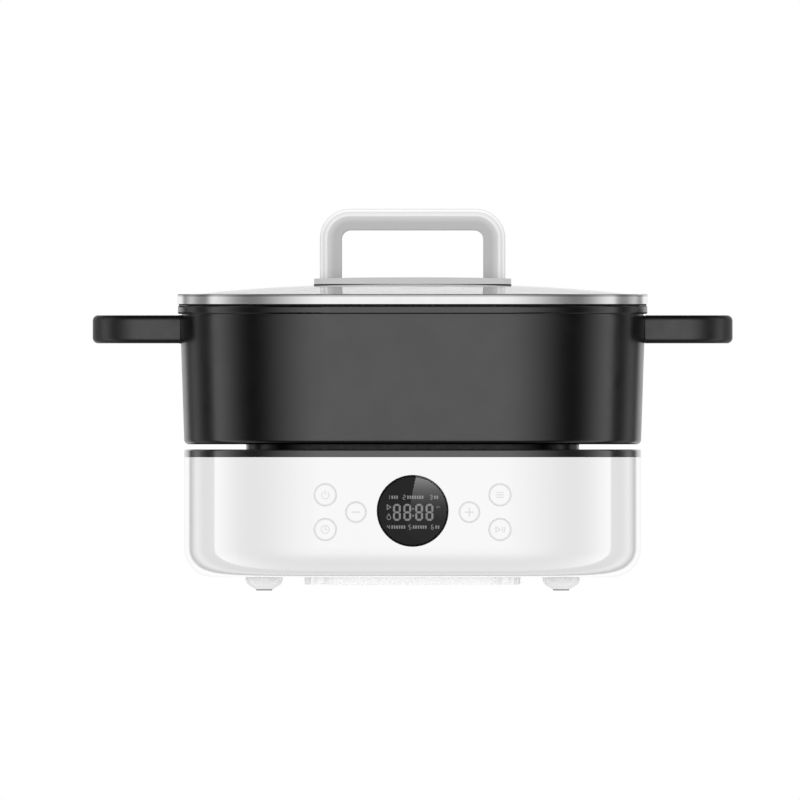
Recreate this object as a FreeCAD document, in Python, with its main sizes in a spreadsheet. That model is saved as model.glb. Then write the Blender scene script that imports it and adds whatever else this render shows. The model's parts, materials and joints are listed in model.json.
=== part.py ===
"""Electric hot pot: a heated base, a lift-off rounded-square pot and a lift-off glass lid.

Millimetres. +Z is up and the front of the object faces -Y. The origin is on the surface that the feet stand
on, under the middle of the object. Every driving dimension is a cell of the spreadsheet "Sizes". Each piece
is bound to those cells and is written to parts/NODE.step under its own name.
"""

import FreeCAD, Part
import Sketcher
import math
import operator
import os
from types import SimpleNamespace

V = FreeCAD.Vector
JOIN = 0.5  # how far a feature runs into the one it joins
BEYOND = 1.0  # how far a cut starts outside what it cuts
FAR = 20.0  # how far a shape that is trimmed later reaches past the lid
doc = FreeCAD.newDocument("electric_hot_pot")

# --------------------------------------------------------------------------------------- driving dimensions

SIZES = {
    # the base seen from above, and its heights
    "base_width": 282.0,
    "base_depth": 282.0,
    "base_corner": 86.0,
    "base_round": 18.0,
    "foot_height": 8.3,
    "base_height": 74.0,
    "housing_wall": 2.6,
    "fit_gap": 0.3,
    # black deck on top of the base, with the collar and the well round the heater
    "deck_height": 4.8,
    "deck_plate": 2.4,
    "deck_edge": 1.0,
    "skirt_depth": 6.0,
    "skirt_wall": 2.0,
    "well_radius": 98.0,
    "well_wall": 2.4,
    "well_depth": 13.0,
    "collar_wall": 4.5,
    "collar_gap": 0.5,
    "collar_edge": 0.6,
    "seat_gap": 3.15,
    "post_inset_x": 49.4,
    "post_inset_y": 57.0,
    "post_radius": 4.5,
    "post_thread": 18.0,
    "shield_boss": 4.0,
    "shield_boss_ring": 104.0,
    "shield_thread": 9.0,
    # bottom cover with its vented box
    "cover_inset": 23.5,
    "cover_thickness": 2.5,
    "ledge_reach": 8.0,
    "ledge_seat": 4.0,
    "ledge_height": 2.2,
    "vent_box_size": 134.0,
    "vent_box_corner": 20.0,
    "vent_box_drop": 5.0,
    "vent_box_edge": 1.0,
    "vent_length": 46.0,
    "vent_width": 3.0,
    "vent_pitch": 9.0,
    "vent_pairs": 5,
    "vent_rib": 10.0,
    "vent_corner": 1.4,
    # feet
    "foot_radius": 11.7,
    "foot_cheek": 4.1,
    "foot_tip": 6.0,
    "foot_edge": 6.0,
    "pad_radius": 5.0,
    "pad_height": 2.6,
    "pad_proud": 0.9,
    "pad_edge": 0.5,
    # heating plate and its tube element
    "plate_gap": 3.0,
    "plate_thickness": 6.0,
    "plate_edge": 0.6,
    "contact_gap": 0.3,
    "element_ring": 73.0,
    "element_radius": 4.0,
    "element_fit": 0.1,
    "element_boss": 7.0,
    "element_cover": 0.4,
    "element_gap": 17.0,
    "element_bend": 10.0,
    "element_tail": 15.0,
    "boss_gap": 24.0,
    "boss_gap_corner": 2.0,
    "sensor_hole": 16.0,
    "spacer_ring": 46.0,
    "spacer_radius": 5.5,
    "spacer_thread": 9.0,
    "plate_post": 10.0,
    # steel shield under the heater
    "shield_steel": 0.8,
    "shield_flange": 108.5,
    "shield_dish": 94.0,
    "shield_depth": 11.5,
    "shield_bore": 3.5,
    "tail_clearance": 2.5,
    # screws
    "screw_radius": 1.6,
    "thread_gap": 0.05,
    "screw_head": 3.2,
    "screw_head_height": 2.2,
    "screw_bevel": 0.6,
    "screw_point": 0.8,
    "screw_clear": 2.2,
    "bore_rest": 1.0,
    "head_clear": 0.4,
    "socket_radius": 1.4,
    "socket_depth": 1.2,
    # spring-loaded temperature probe
    "cap_radius": 13.0,
    "cap_top": 1.5,
    "cap_wall": 1.2,
    "cap_skirt": 15.0,
    "cap_lip": 1.2,
    "cap_catch": 0.4,
    "cap_edge": 0.8,
    "sensor_travel": 3.0,
    "guide_radius": 10.0,
    "guide_wall": 1.6,
    "guide_foot": 17.5,
    "guide_foot_height": 1.5,
    "guide_lip": 1.3,
    "guide_lip_height": 1.2,
    "guide_screw": 5.0,
    "spring_radius": 6.6,
    "spring_wire": 0.5,
    "spring_turns": 7,
    "bead_radius": 3.2,
    "bead_length": 7.0,
    "bead_bevel": 1.0,
    # thermal fuse under the heating plate
    "fuse_radius": 2.0,
    "fuse_length": 14.0,
    "fuse_bevel": 0.7,
    "fuse_y": 46.0,
    "clip_steel": 1.0,
    "clip_width": 8.0,
    "clip_reach": 12.0,
    "clip_slack": 0.5,
    "clip_thread": 4.0,
    # display window, keys and the board behind them
    "display_height": 49.2,
    "lens_radius": 22.0,
    "lens_flange": 0.8,
    "lens_back": 1.4,
    "panel_gap": 0.2,
    "key_height": 48.4,
    "key_rise": 10.7,
    "key_outer_x": 53.9,
    "key_inner_x": 35.0,
    "key_radius": 6.9,
    "key_small_radius": 6.4,
    "key_gap": 0.3,
    "key_edge": 0.35,
    "key_travel": 0.8,
    "key_lip": 0.9,
    "key_flange": 1.0,
    "stem_radius": 1.5,
    "stem_entry": 0.3,
    "switch_size": 6.2,
    "switch_height": 3.6,
    "switch_corner": 0.5,
    "plunger_gap": 0.4,
    "board_thickness": 1.6,
    "board_corner": 2.5,
    "panel_board_width": 128.0,
    "panel_board_height": 46.0,
    "panel_board_depth": 10.8,
    "module_width": 40.0,
    "module_height": 22.0,
    "module_depth": 5.6,
    "module_corner": 1.0,
    "panel_post": 3.5,
    "panel_post_x": 35.0,
    "panel_post_rise": 18.8,
    "panel_screw": 8.0,
    # power board and what stands on it
    "power_board_width": 112.0,
    "power_board_depth": 78.0,
    "power_board_y": 24.0,
    "power_board_stand": 9.0,
    "board_hole_inset": 5.0,
    "board_stand_radius": 3.6,
    "board_screw": 7.0,
    "transformer_x": -30.0,
    "transformer_y": 38.0,
    "transformer_width": 36.0,
    "transformer_depth": 30.0,
    "transformer_height": 24.0,
    "core_depth": 15.0,
    "core_lift": 1.0,
    "core_corner": 1.0,
    "bobbin_width": 24.0,
    "bobbin_height": 18.0,
    "bobbin_corner": 2.0,
    "relay_x": 30.0,
    "relay_y": 26.0,
    "relay_width": 20.0,
    "relay_depth": 16.0,
    "relay_height": 17.0,
    "relay_corner": 0.8,
    "relay_edge": 0.5,
    "capacitor_x": 4.0,
    "capacitor_y": 8.0,
    "capacitor_radius": 9.0,
    "capacitor_height": 24.0,
    "capacitor_edge": 1.5,
    "score_length": 10.8,
    "score_width": 0.8,
    "score_corner": 0.3,
    "score_depth": 0.4,
    "terminal_x": 30.0,
    "terminal_y": 50.0,
    "terminal_width": 28.0,
    "terminal_depth": 12.0,
    "terminal_height": 14.0,
    "terminal_corner": 0.8,
    "terminal_pitch": 14.0,
    "terminal_entry": 4.7,
    "terminal_well": 2.6,
    "terminal_well_depth": 4.7,
    # mains inlet in the back wall
    "inlet_height": 34.0,
    "inlet_width": 24.4,
    "inlet_tall": 17.0,
    "inlet_wall": 1.8,
    "inlet_inside": 16.5,
    "inlet_back": 3.0,
    "inlet_flange_width": 49.0,
    "inlet_flange_tall": 23.0,
    "inlet_flange": 2.0,
    "inlet_flange_corner": 4.0,
    "inlet_flange_edge": 0.6,
    "inlet_shell_corner": 1.2,
    "inlet_socket_corner": 2.5,
    "inlet_sink": 1.2,
    "inlet_screw_x": 20.0,
    "inlet_screw": 7.0,
    "pin_pitch": 7.0,
    "pin_rise": 2.0,
    "pin_wide": 2.0,
    "pin_tall": 4.0,
    "pin_fit": 0.1,
    "pin_corner": 0.3,
    "pin_length": 13.0,
    "pin_tail": 8.0,
    # wires inside the base
    "wire_radius": 1.4,
    "thin_wire_radius": 0.9,
    "ribbon_width": 16.0,
    "ribbon_thickness": 0.8,
    "ribbon_reach": 9.0,
    "ribbon_drop": 10.0,
    "ribbon_lift": 3.0,
    "ribbon_bevel": 2.0,
    "ribbon_inset": 4.0,
    # pot
    "pot_inset": 0.1,
    "pot_height": 79.05,
    "pot_flare": 2.6,
    "pot_wall": 3.0,
    "pot_floor": 4.0,
    "pot_edge": 3.0,
    "bowl_round": 10.0,
    "pot_foot_radius": 96.5,
    "pot_foot_depth": 5.05,
    "pot_foot_edge": 0.8,
    "neck_height": 1.4,
    "neck_depth": 1.0,
    "flange_overhang": 1.35,
    "flange_height": 5.1,
    "flange_edge": 1.0,
    # side grips of the pot
    "grip_drop": 0.83,
    "grip_reach": 53.9,
    "grip_width": 118.0,
    "grip_bar": 17.0,
    "grip_height": 17.3,
    "grip_corner": 28.0,
    "grip_edge": 3.4,
    "lug_width": 8.0,
    "lug_height": 7.6,
    "lug_length": 15.0,
    "lug_corner": 0.9,
    "lug_fit": 0.2,
    "lug_screw": 9.0,
    "head_recess": 3.6,
    # steel rim of the lid
    "lid_gap": 1.05,
    "seat_clearance": 0.3,
    "rim_height": 6.15,
    "rim_overhang": 0.15,
    "rim_steel": 0.5,
    "rim_lip": 4.5,
    "rim_edge": 0.7,
    "rim_foot": 5.6,
    "rim_skirt": 5.0,
    "rim_skirt_gap": 0.8,
    "gasket_width": 3.2,
    "gasket_edge_gap": 0.3,
    # domed glass and its vent
    "glass_inset": 1.6,
    "glass_thickness": 3.0,
    "dome_height": 6.0,
    "dome_drop": 7.4,
    "dome_power": 2.6,
    "dome_blend": 0.29,
    "dome_margin": 3.0,
    "vent_hole": 3.4,
    "vent_bore": 2.2,
    "vent_fit": 0.1,
    "vent_flange": 2.0,
    "vent_flange_height": 1.0,
    "vent_y": 62.0,
    # handle of the lid
    "knob_plate_length": 121.7,
    "knob_plate_width": 30.0,
    "knob_plate_thickness": 4.3,
    "knob_plate_corner": 5.0,
    "knob_span": 114.5,
    "knob_height": 46.6,
    "knob_bar": 13.4,
    "knob_leg": 13.7,
    "knob_depth": 16.0,
    "knob_corner": 18.5,
    "knob_inner_corner": 5.5,
    "knob_edge": 4.8,
    "knob_inner_edge": 0.8,
    "washer_radius": 8.0,
    "washer_thickness": 1.5,
    "knob_screw": 24.0,
}

sheet = doc.addObject("Spreadsheet::Sheet", "Sizes")
for row, (alias, amount) in enumerate(SIZES.items(), start=1):
    sheet.set(f"A{row}", alias)
    sheet.set(f"B{row}", str(amount))
    sheet.setAlias(f"B{row}", alias)
doc.recompute()


class Size:
    """A measure worked out from the sheet: its number now, and the text that binds a property to it."""

    def __init__(self, value, text=None):
        self.value = float(value)
        self.text = text or f"({self.value})"

    def __add__(self, other):
        return combine(operator.add, "+", self, other)

    def __radd__(self, other):
        return combine(operator.add, "+", other, self)

    def __sub__(self, other):
        return combine(operator.sub, "-", self, other)

    def __rsub__(self, other):
        return combine(operator.sub, "-", other, self)

    def __mul__(self, other):
        return combine(operator.mul, "*", self, other)

    def __rmul__(self, other):
        return combine(operator.mul, "*", other, self)

    def __truediv__(self, other):
        return combine(operator.truediv, "/", self, other)

    def __neg__(self):
        return -1 * self


def as_size(amount):
    return amount if isinstance(amount, Size) else Size(amount)


def combine(work, sign, left, right):
    a, b = as_size(left), as_size(right)
    return Size(work(a.value, b.value), f"({a.text} {sign} {b.text})")


S = SimpleNamespace(**{alias: Size(getattr(sheet, alias), f"Sizes.{alias}") for alias in SIZES})

# Half sizes of the base seen from above. The front face is half_depth towards -Y.
half_width = S.base_width / 2
half_depth = S.base_depth / 2

# Levels above the floor, each built on the ones below it
base_bottom = S.foot_height
deck_bottom = base_bottom + S.base_height
deck_top = deck_bottom + S.deck_height
deck_under = deck_top - S.deck_plate
pot_bottom = deck_top + S.seat_gap
wall_top = pot_bottom + S.pot_height
neck_top = wall_top + S.neck_height
flange_top = neck_top + S.flange_height
rim_bottom = flange_top + S.lid_gap
rim_top = rim_bottom + S.rim_height
dome_top = rim_top + S.dome_height
plate_top = pot_bottom - S.pot_foot_depth - S.contact_gap
plate_bottom = plate_top - S.plate_thickness
well_bottom = deck_bottom - S.well_depth
shield_top = well_bottom - S.shield_depth + S.shield_steel
cover_top = base_bottom + S.cover_thickness
board_bottom = cover_top + S.power_board_stand
board_top = board_bottom + S.board_thickness

# Places that several pieces share
post_x = half_width - S.post_inset_x
post_y = half_depth - S.post_inset_y
tap_radius = S.screw_radius + S.thread_gap
panel_wall_back = half_depth - S.housing_wall
panel_board_front = half_depth - S.panel_board_depth
pot_lean = S.pot_flare / S.pot_height
pot_angle = Size(math.degrees(math.atan(pot_lean.value)), f"atan({pot_lean.text})")
grip_top = neck_top - S.grip_drop
grip_bottom = grip_top - S.grip_height
grip_root = half_width - S.pot_inset + S.pot_flare
leg_x = (S.knob_span - S.knob_leg) / 2
foot_seat = S.pad_height + S.fit_gap + S.screw_head_height + S.head_clear
post_tap_top = cover_top + S.post_thread
inlet_cavity_back = half_depth - S.inlet_inside
inlet_inner_face = inlet_cavity_back - S.inlet_back
boss_depth = 2 * S.element_radius + S.element_fit + S.element_cover
element_level = plate_bottom - S.element_cover - S.element_fit - S.element_radius
guide_top = plate_top - S.cap_top - S.sensor_travel - S.contact_gap
guide_screw_x = S.guide_radius + S.screw_head + S.fit_gap
fuse_screw_x = (S.fuse_length + S.clip_reach) / 2
terminal_level = board_top + S.terminal_entry
pin_end = inlet_inner_face - S.pin_tail
lug_y = (S.grip_width - S.grip_bar) / 2
lug_screw_x = grip_root + S.lug_length / 2
rim_grow = S.pot_flare - S.pot_inset + S.flange_overhang + S.rim_overhang

KEYS = {
    "key_power": (-S.key_outer_x, S.key_height + S.key_rise, S.key_radius),
    "key_timer": (-S.key_outer_x, S.key_height - S.key_rise, S.key_radius),
    "key_minus": (-S.key_inner_x, S.key_height, S.key_small_radius),
    "key_plus": (S.key_inner_x, S.key_height, S.key_small_radius),
    "key_mode": (S.key_outer_x, S.key_height + S.key_rise, S.key_radius),
    "key_start": (S.key_outer_x, S.key_height - S.key_rise, S.key_radius),
}
CORNERS = {"front_left": (-1, -1), "front_right": (1, -1), "back_left": (-1, 1), "back_right": (1, 1)}
PANEL_POSTS = [
    (side_x * S.panel_post_x, S.display_height + side_z * S.panel_post_rise)
    for side_x, side_z in CORNERS.values()
]
BOARD_HOLES = [
    (
        side_x * (S.power_board_width / 2 - S.board_hole_inset),
        S.power_board_y + side_y * (S.power_board_depth / 2 - S.board_hole_inset),
    )
    for side_x, side_y in CORNERS.values()
]
GUIDE_SPOTS = [(-guide_screw_x, Size(0)), (guide_screw_x, Size(0))]
PINS = [
    (-S.pin_pitch, S.inlet_height - S.pin_rise),
    (Size(0), S.inlet_height + S.pin_rise),
    (S.pin_pitch, S.inlet_height - S.pin_rise),
]
INLET_SCREWS = [(-S.inlet_screw_x, S.inlet_height), (S.inlet_screw_x, S.inlet_height)]
TERMINALS = [S.terminal_x - S.terminal_pitch / 2, S.terminal_x + S.terminal_pitch / 2]

# Ways that a screw's shank may point: an axis and the angle turned about it
UP = (V(1, 0, 0), 0.0)
DOWN = (V(1, 0, 0), 180.0)
FORWARD = (V(1, 0, 0), 90.0)

# -------------------------------------------------------------------------------------------- small helpers

nodes = {}


def bind(thing, prop, amount):
    """Ties one property of a document object to the sheet, or sets it where the amount is a plain number."""
    size = as_size(amount)
    if "Sizes." in size.text:
        thing.setExpression(prop, size.text)


def origin_part(body, role):
    """One of a body's own origin planes or axes."""
    return next(o for o in body.Origin.OriginFeatures if o.Role == role)


def new_body(label, is_node=True):
    """A body, usually one node of the assembly. It may hold several separate solids."""
    body = doc.addObject("PartDesign::Body", label)
    body.Label = label
    body.AllowCompound = True
    if is_node:
        nodes[label] = body
    return body


def new_sketch(body, name, plane="XY_Plane", offset=0):
    """A sketch on one of the body's own planes. XZ_Plane looks along +Y, and its offset counts towards -Y."""
    sketch = body.newObject("Sketcher::SketchObject", name)
    sketch.AttachmentSupport = [(origin_part(body, plane), "")]
    sketch.MapMode = "FlatFace"
    sketch.AttachmentOffset = FreeCAD.Placement(V(0, 0, as_size(offset).value), FreeCAD.Rotation())
    bind(sketch, "AttachmentOffset.Base.z", offset)
    return sketch


def set_rule(sketch, kind, *target):
    """A dimension of a sketch, its last argument a size."""
    *where, amount = target
    size = as_size(amount)
    index = sketch.addConstraint(Sketcher.Constraint(kind, *where, size.value))
    bind(sketch, f"Constraints[{index}]", size)


def pin_point(sketch, geometry, end, x, y):
    """Fixes one point of a sketch by its two coordinates."""
    set_rule(sketch, "DistanceX", geometry, end, x)
    set_rule(sketch, "DistanceY", geometry, end, y)


def draw_circle(sketch, x, y, radius):
    middle = V(as_size(x).value, as_size(y).value, 0)
    index = sketch.addGeometry(Part.Circle(middle, V(0, 0, 1), as_size(radius).value), False)
    pin_point(sketch, index, 3, x, y)
    set_rule(sketch, "Radius", index, radius)


def draw_polygon(sketch, points):
    """A closed outline through points given as pairs of sizes."""
    start = [V(as_size(x).value, as_size(y).value, 0) for x, y in points]
    sides = [Part.LineSegment(a, b) for a, b in zip(start, start[1:] + start[:1])]
    first = sketch.addGeometry(sides, False)[0]
    for step, (x, y) in enumerate(points):
        following = first + (step + 1) % len(points)
        sketch.addConstraint(Sketcher.Constraint("Coincident", first + step, 2, following, 1))
        pin_point(sketch, first + step, 1, x, y)


def draw_rounded(sketch, left, low, right, high, radius):
    """A rectangle with four equal round corners."""
    x0, y0, x1, y1, r = (as_size(amount).value for amount in (left, low, right, high, radius))
    corners = [(x1 - r, y0 + r, -90), (x1 - r, y1 - r, 0), (x0 + r, y1 - r, 90), (x0 + r, y0 + r, 180)]
    starts = [(x0 + r, y0), (x1, y0 + r), (x1 - r, y1), (x0, y1 - r)]
    stops = [(x1 - r, y0), (x1, y1 - r), (x0 + r, y1), (x0, y0 + r)]
    outline = []
    for start, stop, (cx, cy, turn) in zip(starts, stops, corners):
        corner = Part.Circle(V(cx, cy, 0), V(0, 0, 1), r)
        outline.append(Part.LineSegment(V(*start, 0), V(*stop, 0)))
        outline.append(Part.ArcOfCircle(corner, math.radians(turn), math.radians(turn + 90)))
    first = sketch.addGeometry(outline, False)[0]
    for step in range(8):
        sketch.addConstraint(Sketcher.Constraint("Tangent", first + step, 2, first + (step + 1) % 8, 1))
    for step, kind in ((0, "Horizontal"), (2, "Vertical"), (4, "Horizontal"), (6, "Vertical")):
        sketch.addConstraint(Sketcher.Constraint(kind, first + step))
    for step in (3, 5, 7):
        sketch.addConstraint(Sketcher.Constraint("Equal", first + 1, first + step))
    set_rule(sketch, "Radius", first + 1, radius)
    set_rule(sketch, "DistanceY", first, 1, low)
    set_rule(sketch, "DistanceX", first + 2, 1, right)
    set_rule(sketch, "DistanceY", first + 4, 1, high)
    set_rule(sketch, "DistanceX", first + 6, 1, left)


def draw_outline(sketch, grow=0):
    """The object's rounded square, grown outwards by an amount on every side."""
    x, y = half_width + grow, half_depth + grow
    draw_rounded(sketch, -x, -y, x, y, S.base_corner + grow)


def draw_frame(sketch, outer, inner):
    """The band between two sizes of the object's rounded square."""
    draw_outline(sketch, outer)
    draw_outline(sketch, inner)


def draw_ring(sketch, outer, inner):
    draw_circle(sketch, 0, 0, outer)
    draw_circle(sketch, 0, 0, inner)


def draw_box(sketch, x, y, width, tall, radius):
    """A rounded rectangle about a middle point."""
    draw_rounded(sketch, x - width / 2, y - tall / 2, x + width / 2, y + tall / 2, radius)


def draw_all(sketch, spots, radius):
    for x, y in spots:
        draw_circle(sketch, x, y, radius)


def pad(sketch, length, reverse=False):
    """A prism along the sketch's normal, or against it when reversed."""
    feature = sketch.getParentGeoFeatureGroup().newObject("PartDesign::Pad", sketch.Name + "_pad")
    feature.Profile = sketch
    feature.Reversed = reverse
    feature.Length = as_size(length).value
    bind(feature, "Length", length)
    return feature


def pocket(sketch, depth, reverse=False):
    """A cut against the sketch's normal, or along it when reversed."""
    feature = sketch.getParentGeoFeatureGroup().newObject("PartDesign::Pocket", sketch.Name + "_pocket")
    feature.Profile = sketch
    feature.Reversed = reverse
    feature.Length = as_size(depth).value
    bind(feature, "Length", depth)
    return feature


def pad_between(body, name, low, high, draw, *amounts):
    """A prism standing between two levels, its outline drawn by a function."""
    sketch = new_sketch(body, f"{body.Name}_{name}", "XY_Plane", low)
    draw(sketch, *amounts)
    return pad(sketch, high - low)


def cut_between(body, name, low, high, draw, *amounts):
    """A prismatic cut between two levels."""
    sketch = new_sketch(body, f"{body.Name}_{name}", "XY_Plane", high)
    draw(sketch, *amounts)
    return pocket(sketch, high - low)


def turned(body, name, profile, cut=False):
    """A profile of (radius, height) pairs turned about the body's Z axis, added or cut."""
    sketch = new_sketch(body, f"{body.Name}_{name}", "XZ_Plane")
    draw_polygon(sketch, profile)
    kind = "PartDesign::Groove" if cut else "PartDesign::Revolution"
    feature = body.newObject(kind, sketch.Name + "_turn")
    feature.Profile = sketch
    feature.ReferenceAxis = (origin_part(body, "Z_Axis"), [""])
    feature.Angle = 360
    return feature


def leaning(feature):
    """Makes the walls of a prism or a cut lean outwards, as the pot's walls do."""
    feature.TaperAngle = pot_angle.value
    bind(feature, "TaperAngle", pot_angle)
    return feature


def dress_edges(feature, kind, prop, amount, test):
    """Rounds or bevels the edges of a feature that pass a test."""
    doc.recompute()
    body = feature.getParentGeoFeatureGroup()
    names = [f"Edge{i}" for i, edge in enumerate(feature.Shape.Edges, start=1) if test(edge)]
    if not names:
        raise RuntimeError(f"{feature.Name} has no such edge")
    dressing = body.newObject(f"PartDesign::{kind}", f"{feature.Name}_{kind.lower()}")
    dressing.Base = (feature, names)
    setattr(dressing, prop, as_size(amount).value)
    bind(dressing, prop, amount)
    return dressing


def round_edges(feature, radius, test):
    return dress_edges(feature, "Fillet", "Radius", radius, test)


def bevel_edges(feature, size, test):
    return dress_edges(feature, "Chamfer", "Size", size, test)


def flat_at(edge, level, axis="Z"):
    """Whether an edge lies in one plane square to an axis."""
    target, box = as_size(level).value, edge.BoundBox
    low, high = getattr(box, axis + "Min"), getattr(box, axis + "Max")
    return abs(low - target) < 0.01 and abs(high - target) < 0.01


def on_outline(edge, grow=0):
    """Whether an edge follows the object's rounded square, grown by an amount."""
    radius = (S.base_corner + grow).value
    straight_x = (half_width - S.base_corner).value
    straight_y = (half_depth - S.base_corner).value
    for point in edge.discretize(5):
        dx, dy = abs(point.x) - straight_x, abs(point.y) - straight_y
        reach = math.hypot(dx, dy) if min(dx, dy) > 0 else max(dx, dy)
        if abs(reach - radius) > 0.02:
            return False
    return True


def mirror_four(body, features):
    """Repeats features at the four places (+-x, +-y)."""
    multi = body.newObject("PartDesign::MultiTransform", f"{body.Name}_four")
    multi.Originals = features
    steps = []
    for plane in ("YZ_Plane", "XZ_Plane"):
        step = body.newObject("PartDesign::Mirrored", f"{body.Name}_over_{plane}")
        step.MirrorPlane = (origin_part(body, plane), [""])
        steps.append(step)
    multi.Transformations = steps
    body.Tip = multi
    return multi


def repeat_round(body, features, count):
    """Repeats features about the Z axis."""
    pattern = body.newObject("PartDesign::PolarPattern", f"{body.Name}_ring")
    pattern.Originals = features
    pattern.Axis = (origin_part(body, "Z_Axis"), [""])
    pattern.Angle = 360
    pattern.Occurrences = count
    body.Tip = pattern
    return pattern


def repeat_along_x(body, features, pitch, count):
    """Repeats features in a row along X."""
    pattern = body.newObject("PartDesign::LinearPattern", f"{body.Name}_row")
    pattern.Originals = features
    pattern.Direction = (origin_part(body, "X_Axis"), [""])
    pattern.Occurrences = int(round(as_size(count).value))
    span = pitch * (count - 1)
    pattern.Length = span.value
    bind(pattern, "Length", span)
    body.Tip = pattern
    return pattern


def place(thing, x=0, y=0, z=0, axis=V(0, 0, 1), angle=0.0):
    """Puts a sub-part where it belongs, its position bound to the sheet."""
    spot = V(*(as_size(amount).value for amount in (x, y, z)))
    thing.Placement = FreeCAD.Placement(spot, FreeCAD.Rotation(axis, angle))
    for name, amount in (("x", x), ("y", y), ("z", z)):
        bind(thing, f"Placement.Base.{name}", amount)


def joined(kind, label, is_node=True, **links):
    """A Part boolean, mirror or compound of other document objects."""
    thing = doc.addObject(kind, label)
    thing.Label = label
    for prop, value in links.items():
        setattr(thing, prop, value)
    if is_node:
        nodes[label] = thing
    return thing


def shaped(label, shape, is_node=True, lift=0):
    """A piece whose shape comes from Part's own functions, made in place or lifted to its level."""
    thing = doc.addObject("Part::Feature", label)
    thing.Label = label
    thing.Shape = shape
    place(thing, z=lift)
    if is_node:
        nodes[label] = thing
    return thing


def point(x, y, z):
    return V(*(as_size(amount).value for amount in (x, y, z)))


def tube(route, radius):
    """A round tube along straight runs joined by tangent arcs as large as the runs allow."""
    edges, start = [], route[0]
    for before, corner, after in zip(route, route[1:], route[2:]):
        back, ahead = before - corner, after - corner
        half_turn = (math.pi - back.getAngle(ahead)) / 2
        trim = 0.45 * min(back.Length, ahead.Length)
        enter, leave = corner + back.normalize() * trim, corner + ahead.normalize() * trim
        bend = trim / math.tan(half_turn)
        to_middle = (back + ahead).normalize() * (math.hypot(bend, trim) - bend)
        edges.append(Part.LineSegment(start, enter).toShape())
        edges.append(Part.Arc(enter, corner + to_middle, leave).toShape())
        start = leave
    edges.append(Part.LineSegment(start, route[-1]).toShape())
    size = as_size(radius).value
    section = Part.Wire([Part.makeCircle(size, route[0], route[1] - route[0])])
    spine = Part.Wire(edges)
    solid = spine.makePipeShell([section], True, False)
    if abs(solid.Volume - math.pi * size**2 * spine.Length) > 0.01 * solid.Volume:
        raise RuntimeError("a tube does not fill its route")
    return solid


def screw_profile(length):
    """Half section of a pan-head screw. The underside of its head is at 0 and its shank runs up."""
    return [
        (0, -S.screw_head_height),
        (S.screw_head - S.screw_bevel, -S.screw_head_height),
        (S.screw_head, S.screw_bevel - S.screw_head_height),
        (S.screw_head, 0),
        (S.screw_radius, 0),
        (S.screw_radius, length - S.screw_point),
        (S.screw_radius - S.screw_point, length),
        (0, length),
    ]


def screw(label, length, x, y, z, axis, angle):
    body = new_body(label, is_node=False)
    turned(body, "profile", screw_profile(length))
    socket = new_sketch(body, f"{label}_socket", "XY_Plane", -S.screw_head_height)
    corners = [math.radians(60 * step) for step in range(6)]
    draw_polygon(socket, [(S.socket_radius * math.cos(a), S.socket_radius * math.sin(a)) for a in corners])
    pocket(socket, S.socket_depth, reverse=True)
    place(body, x, y, z, axis, angle)
    return body


def screws(label, length, spots, way=UP):
    """Equal screws as separate solids of one node, their shanks all pointing one way."""
    each = [screw(f"{label}_{number}", length, *spot, *way) for number, spot in enumerate(spots)]
    return joined("Part::Compound", label, Links=each)

# ---------------------------------------------------------------------------------------------- base shells


def base_housing():
    """White outer shell: round bottom edge, ledge over the bottom cover, holes for panel and inlet."""
    body = new_body("base_housing")
    pad_between(body, "outer", base_bottom, deck_bottom, draw_outline)
    floor = base_bottom + S.housing_wall
    hollow = cut_between(body, "inner", floor, deck_bottom, draw_outline, -S.housing_wall)
    inner = lambda edge: flat_at(edge, floor) and on_outline(edge, -S.housing_wall)
    shell = round_edges(hollow, S.base_round - S.housing_wall, inner)
    round_edges(shell, S.base_round, lambda edge: flat_at(edge, base_bottom) and on_outline(edge))
    cut_between(body, "opening", base_bottom, floor, draw_outline, S.fit_gap - S.cover_inset)
    ledge_top = cover_top + S.ledge_height
    seat, reach = S.ledge_seat - S.cover_inset, -S.cover_inset - S.ledge_reach
    pad_between(body, "ledge", cover_top, ledge_top, draw_frame, seat, reach)

    # posts behind the front wall that carry the display board
    posts = new_sketch(body, "panel_posts", "XZ_Plane", panel_wall_back + S.housing_wall / 2)
    bores = new_sketch(body, "panel_post_bores", "XZ_Plane", panel_board_front)
    for x, z in PANEL_POSTS:
        draw_circle(posts, x, z, S.panel_post)
        draw_circle(bores, x, z, tap_radius)
    pad(posts, S.panel_board_depth - S.housing_wall / 2, reverse=True)
    pocket(bores, S.panel_board_depth - S.housing_wall, reverse=True)

    # holes for the lens and the keys
    holes = new_sketch(body, "panel_holes", "XZ_Plane", half_depth + BEYOND)
    draw_circle(holes, 0, S.display_height, S.lens_radius + S.panel_gap)
    for x, z, radius in KEYS.values():
        draw_circle(holes, x, z, radius + S.key_gap)
    pocket(holes, S.housing_wall + 2 * BEYOND)

    # hole for the mains inlet in the back wall, and those of its screws
    back = new_sketch(body, "inlet_hole", "XZ_Plane", -BEYOND - half_depth)
    frame = 2 * (S.inlet_wall + S.fit_gap)
    corner = S.inlet_shell_corner + S.fit_gap
    draw_box(back, Size(0), S.inlet_height, S.inlet_width + frame, S.inlet_tall + frame, corner)
    for side in (-1, 1):
        draw_circle(back, side * S.inlet_screw_x, S.inlet_height, tap_radius)
    pocket(back, S.housing_wall + 2 * BEYOND, reverse=True)
    return body


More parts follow.
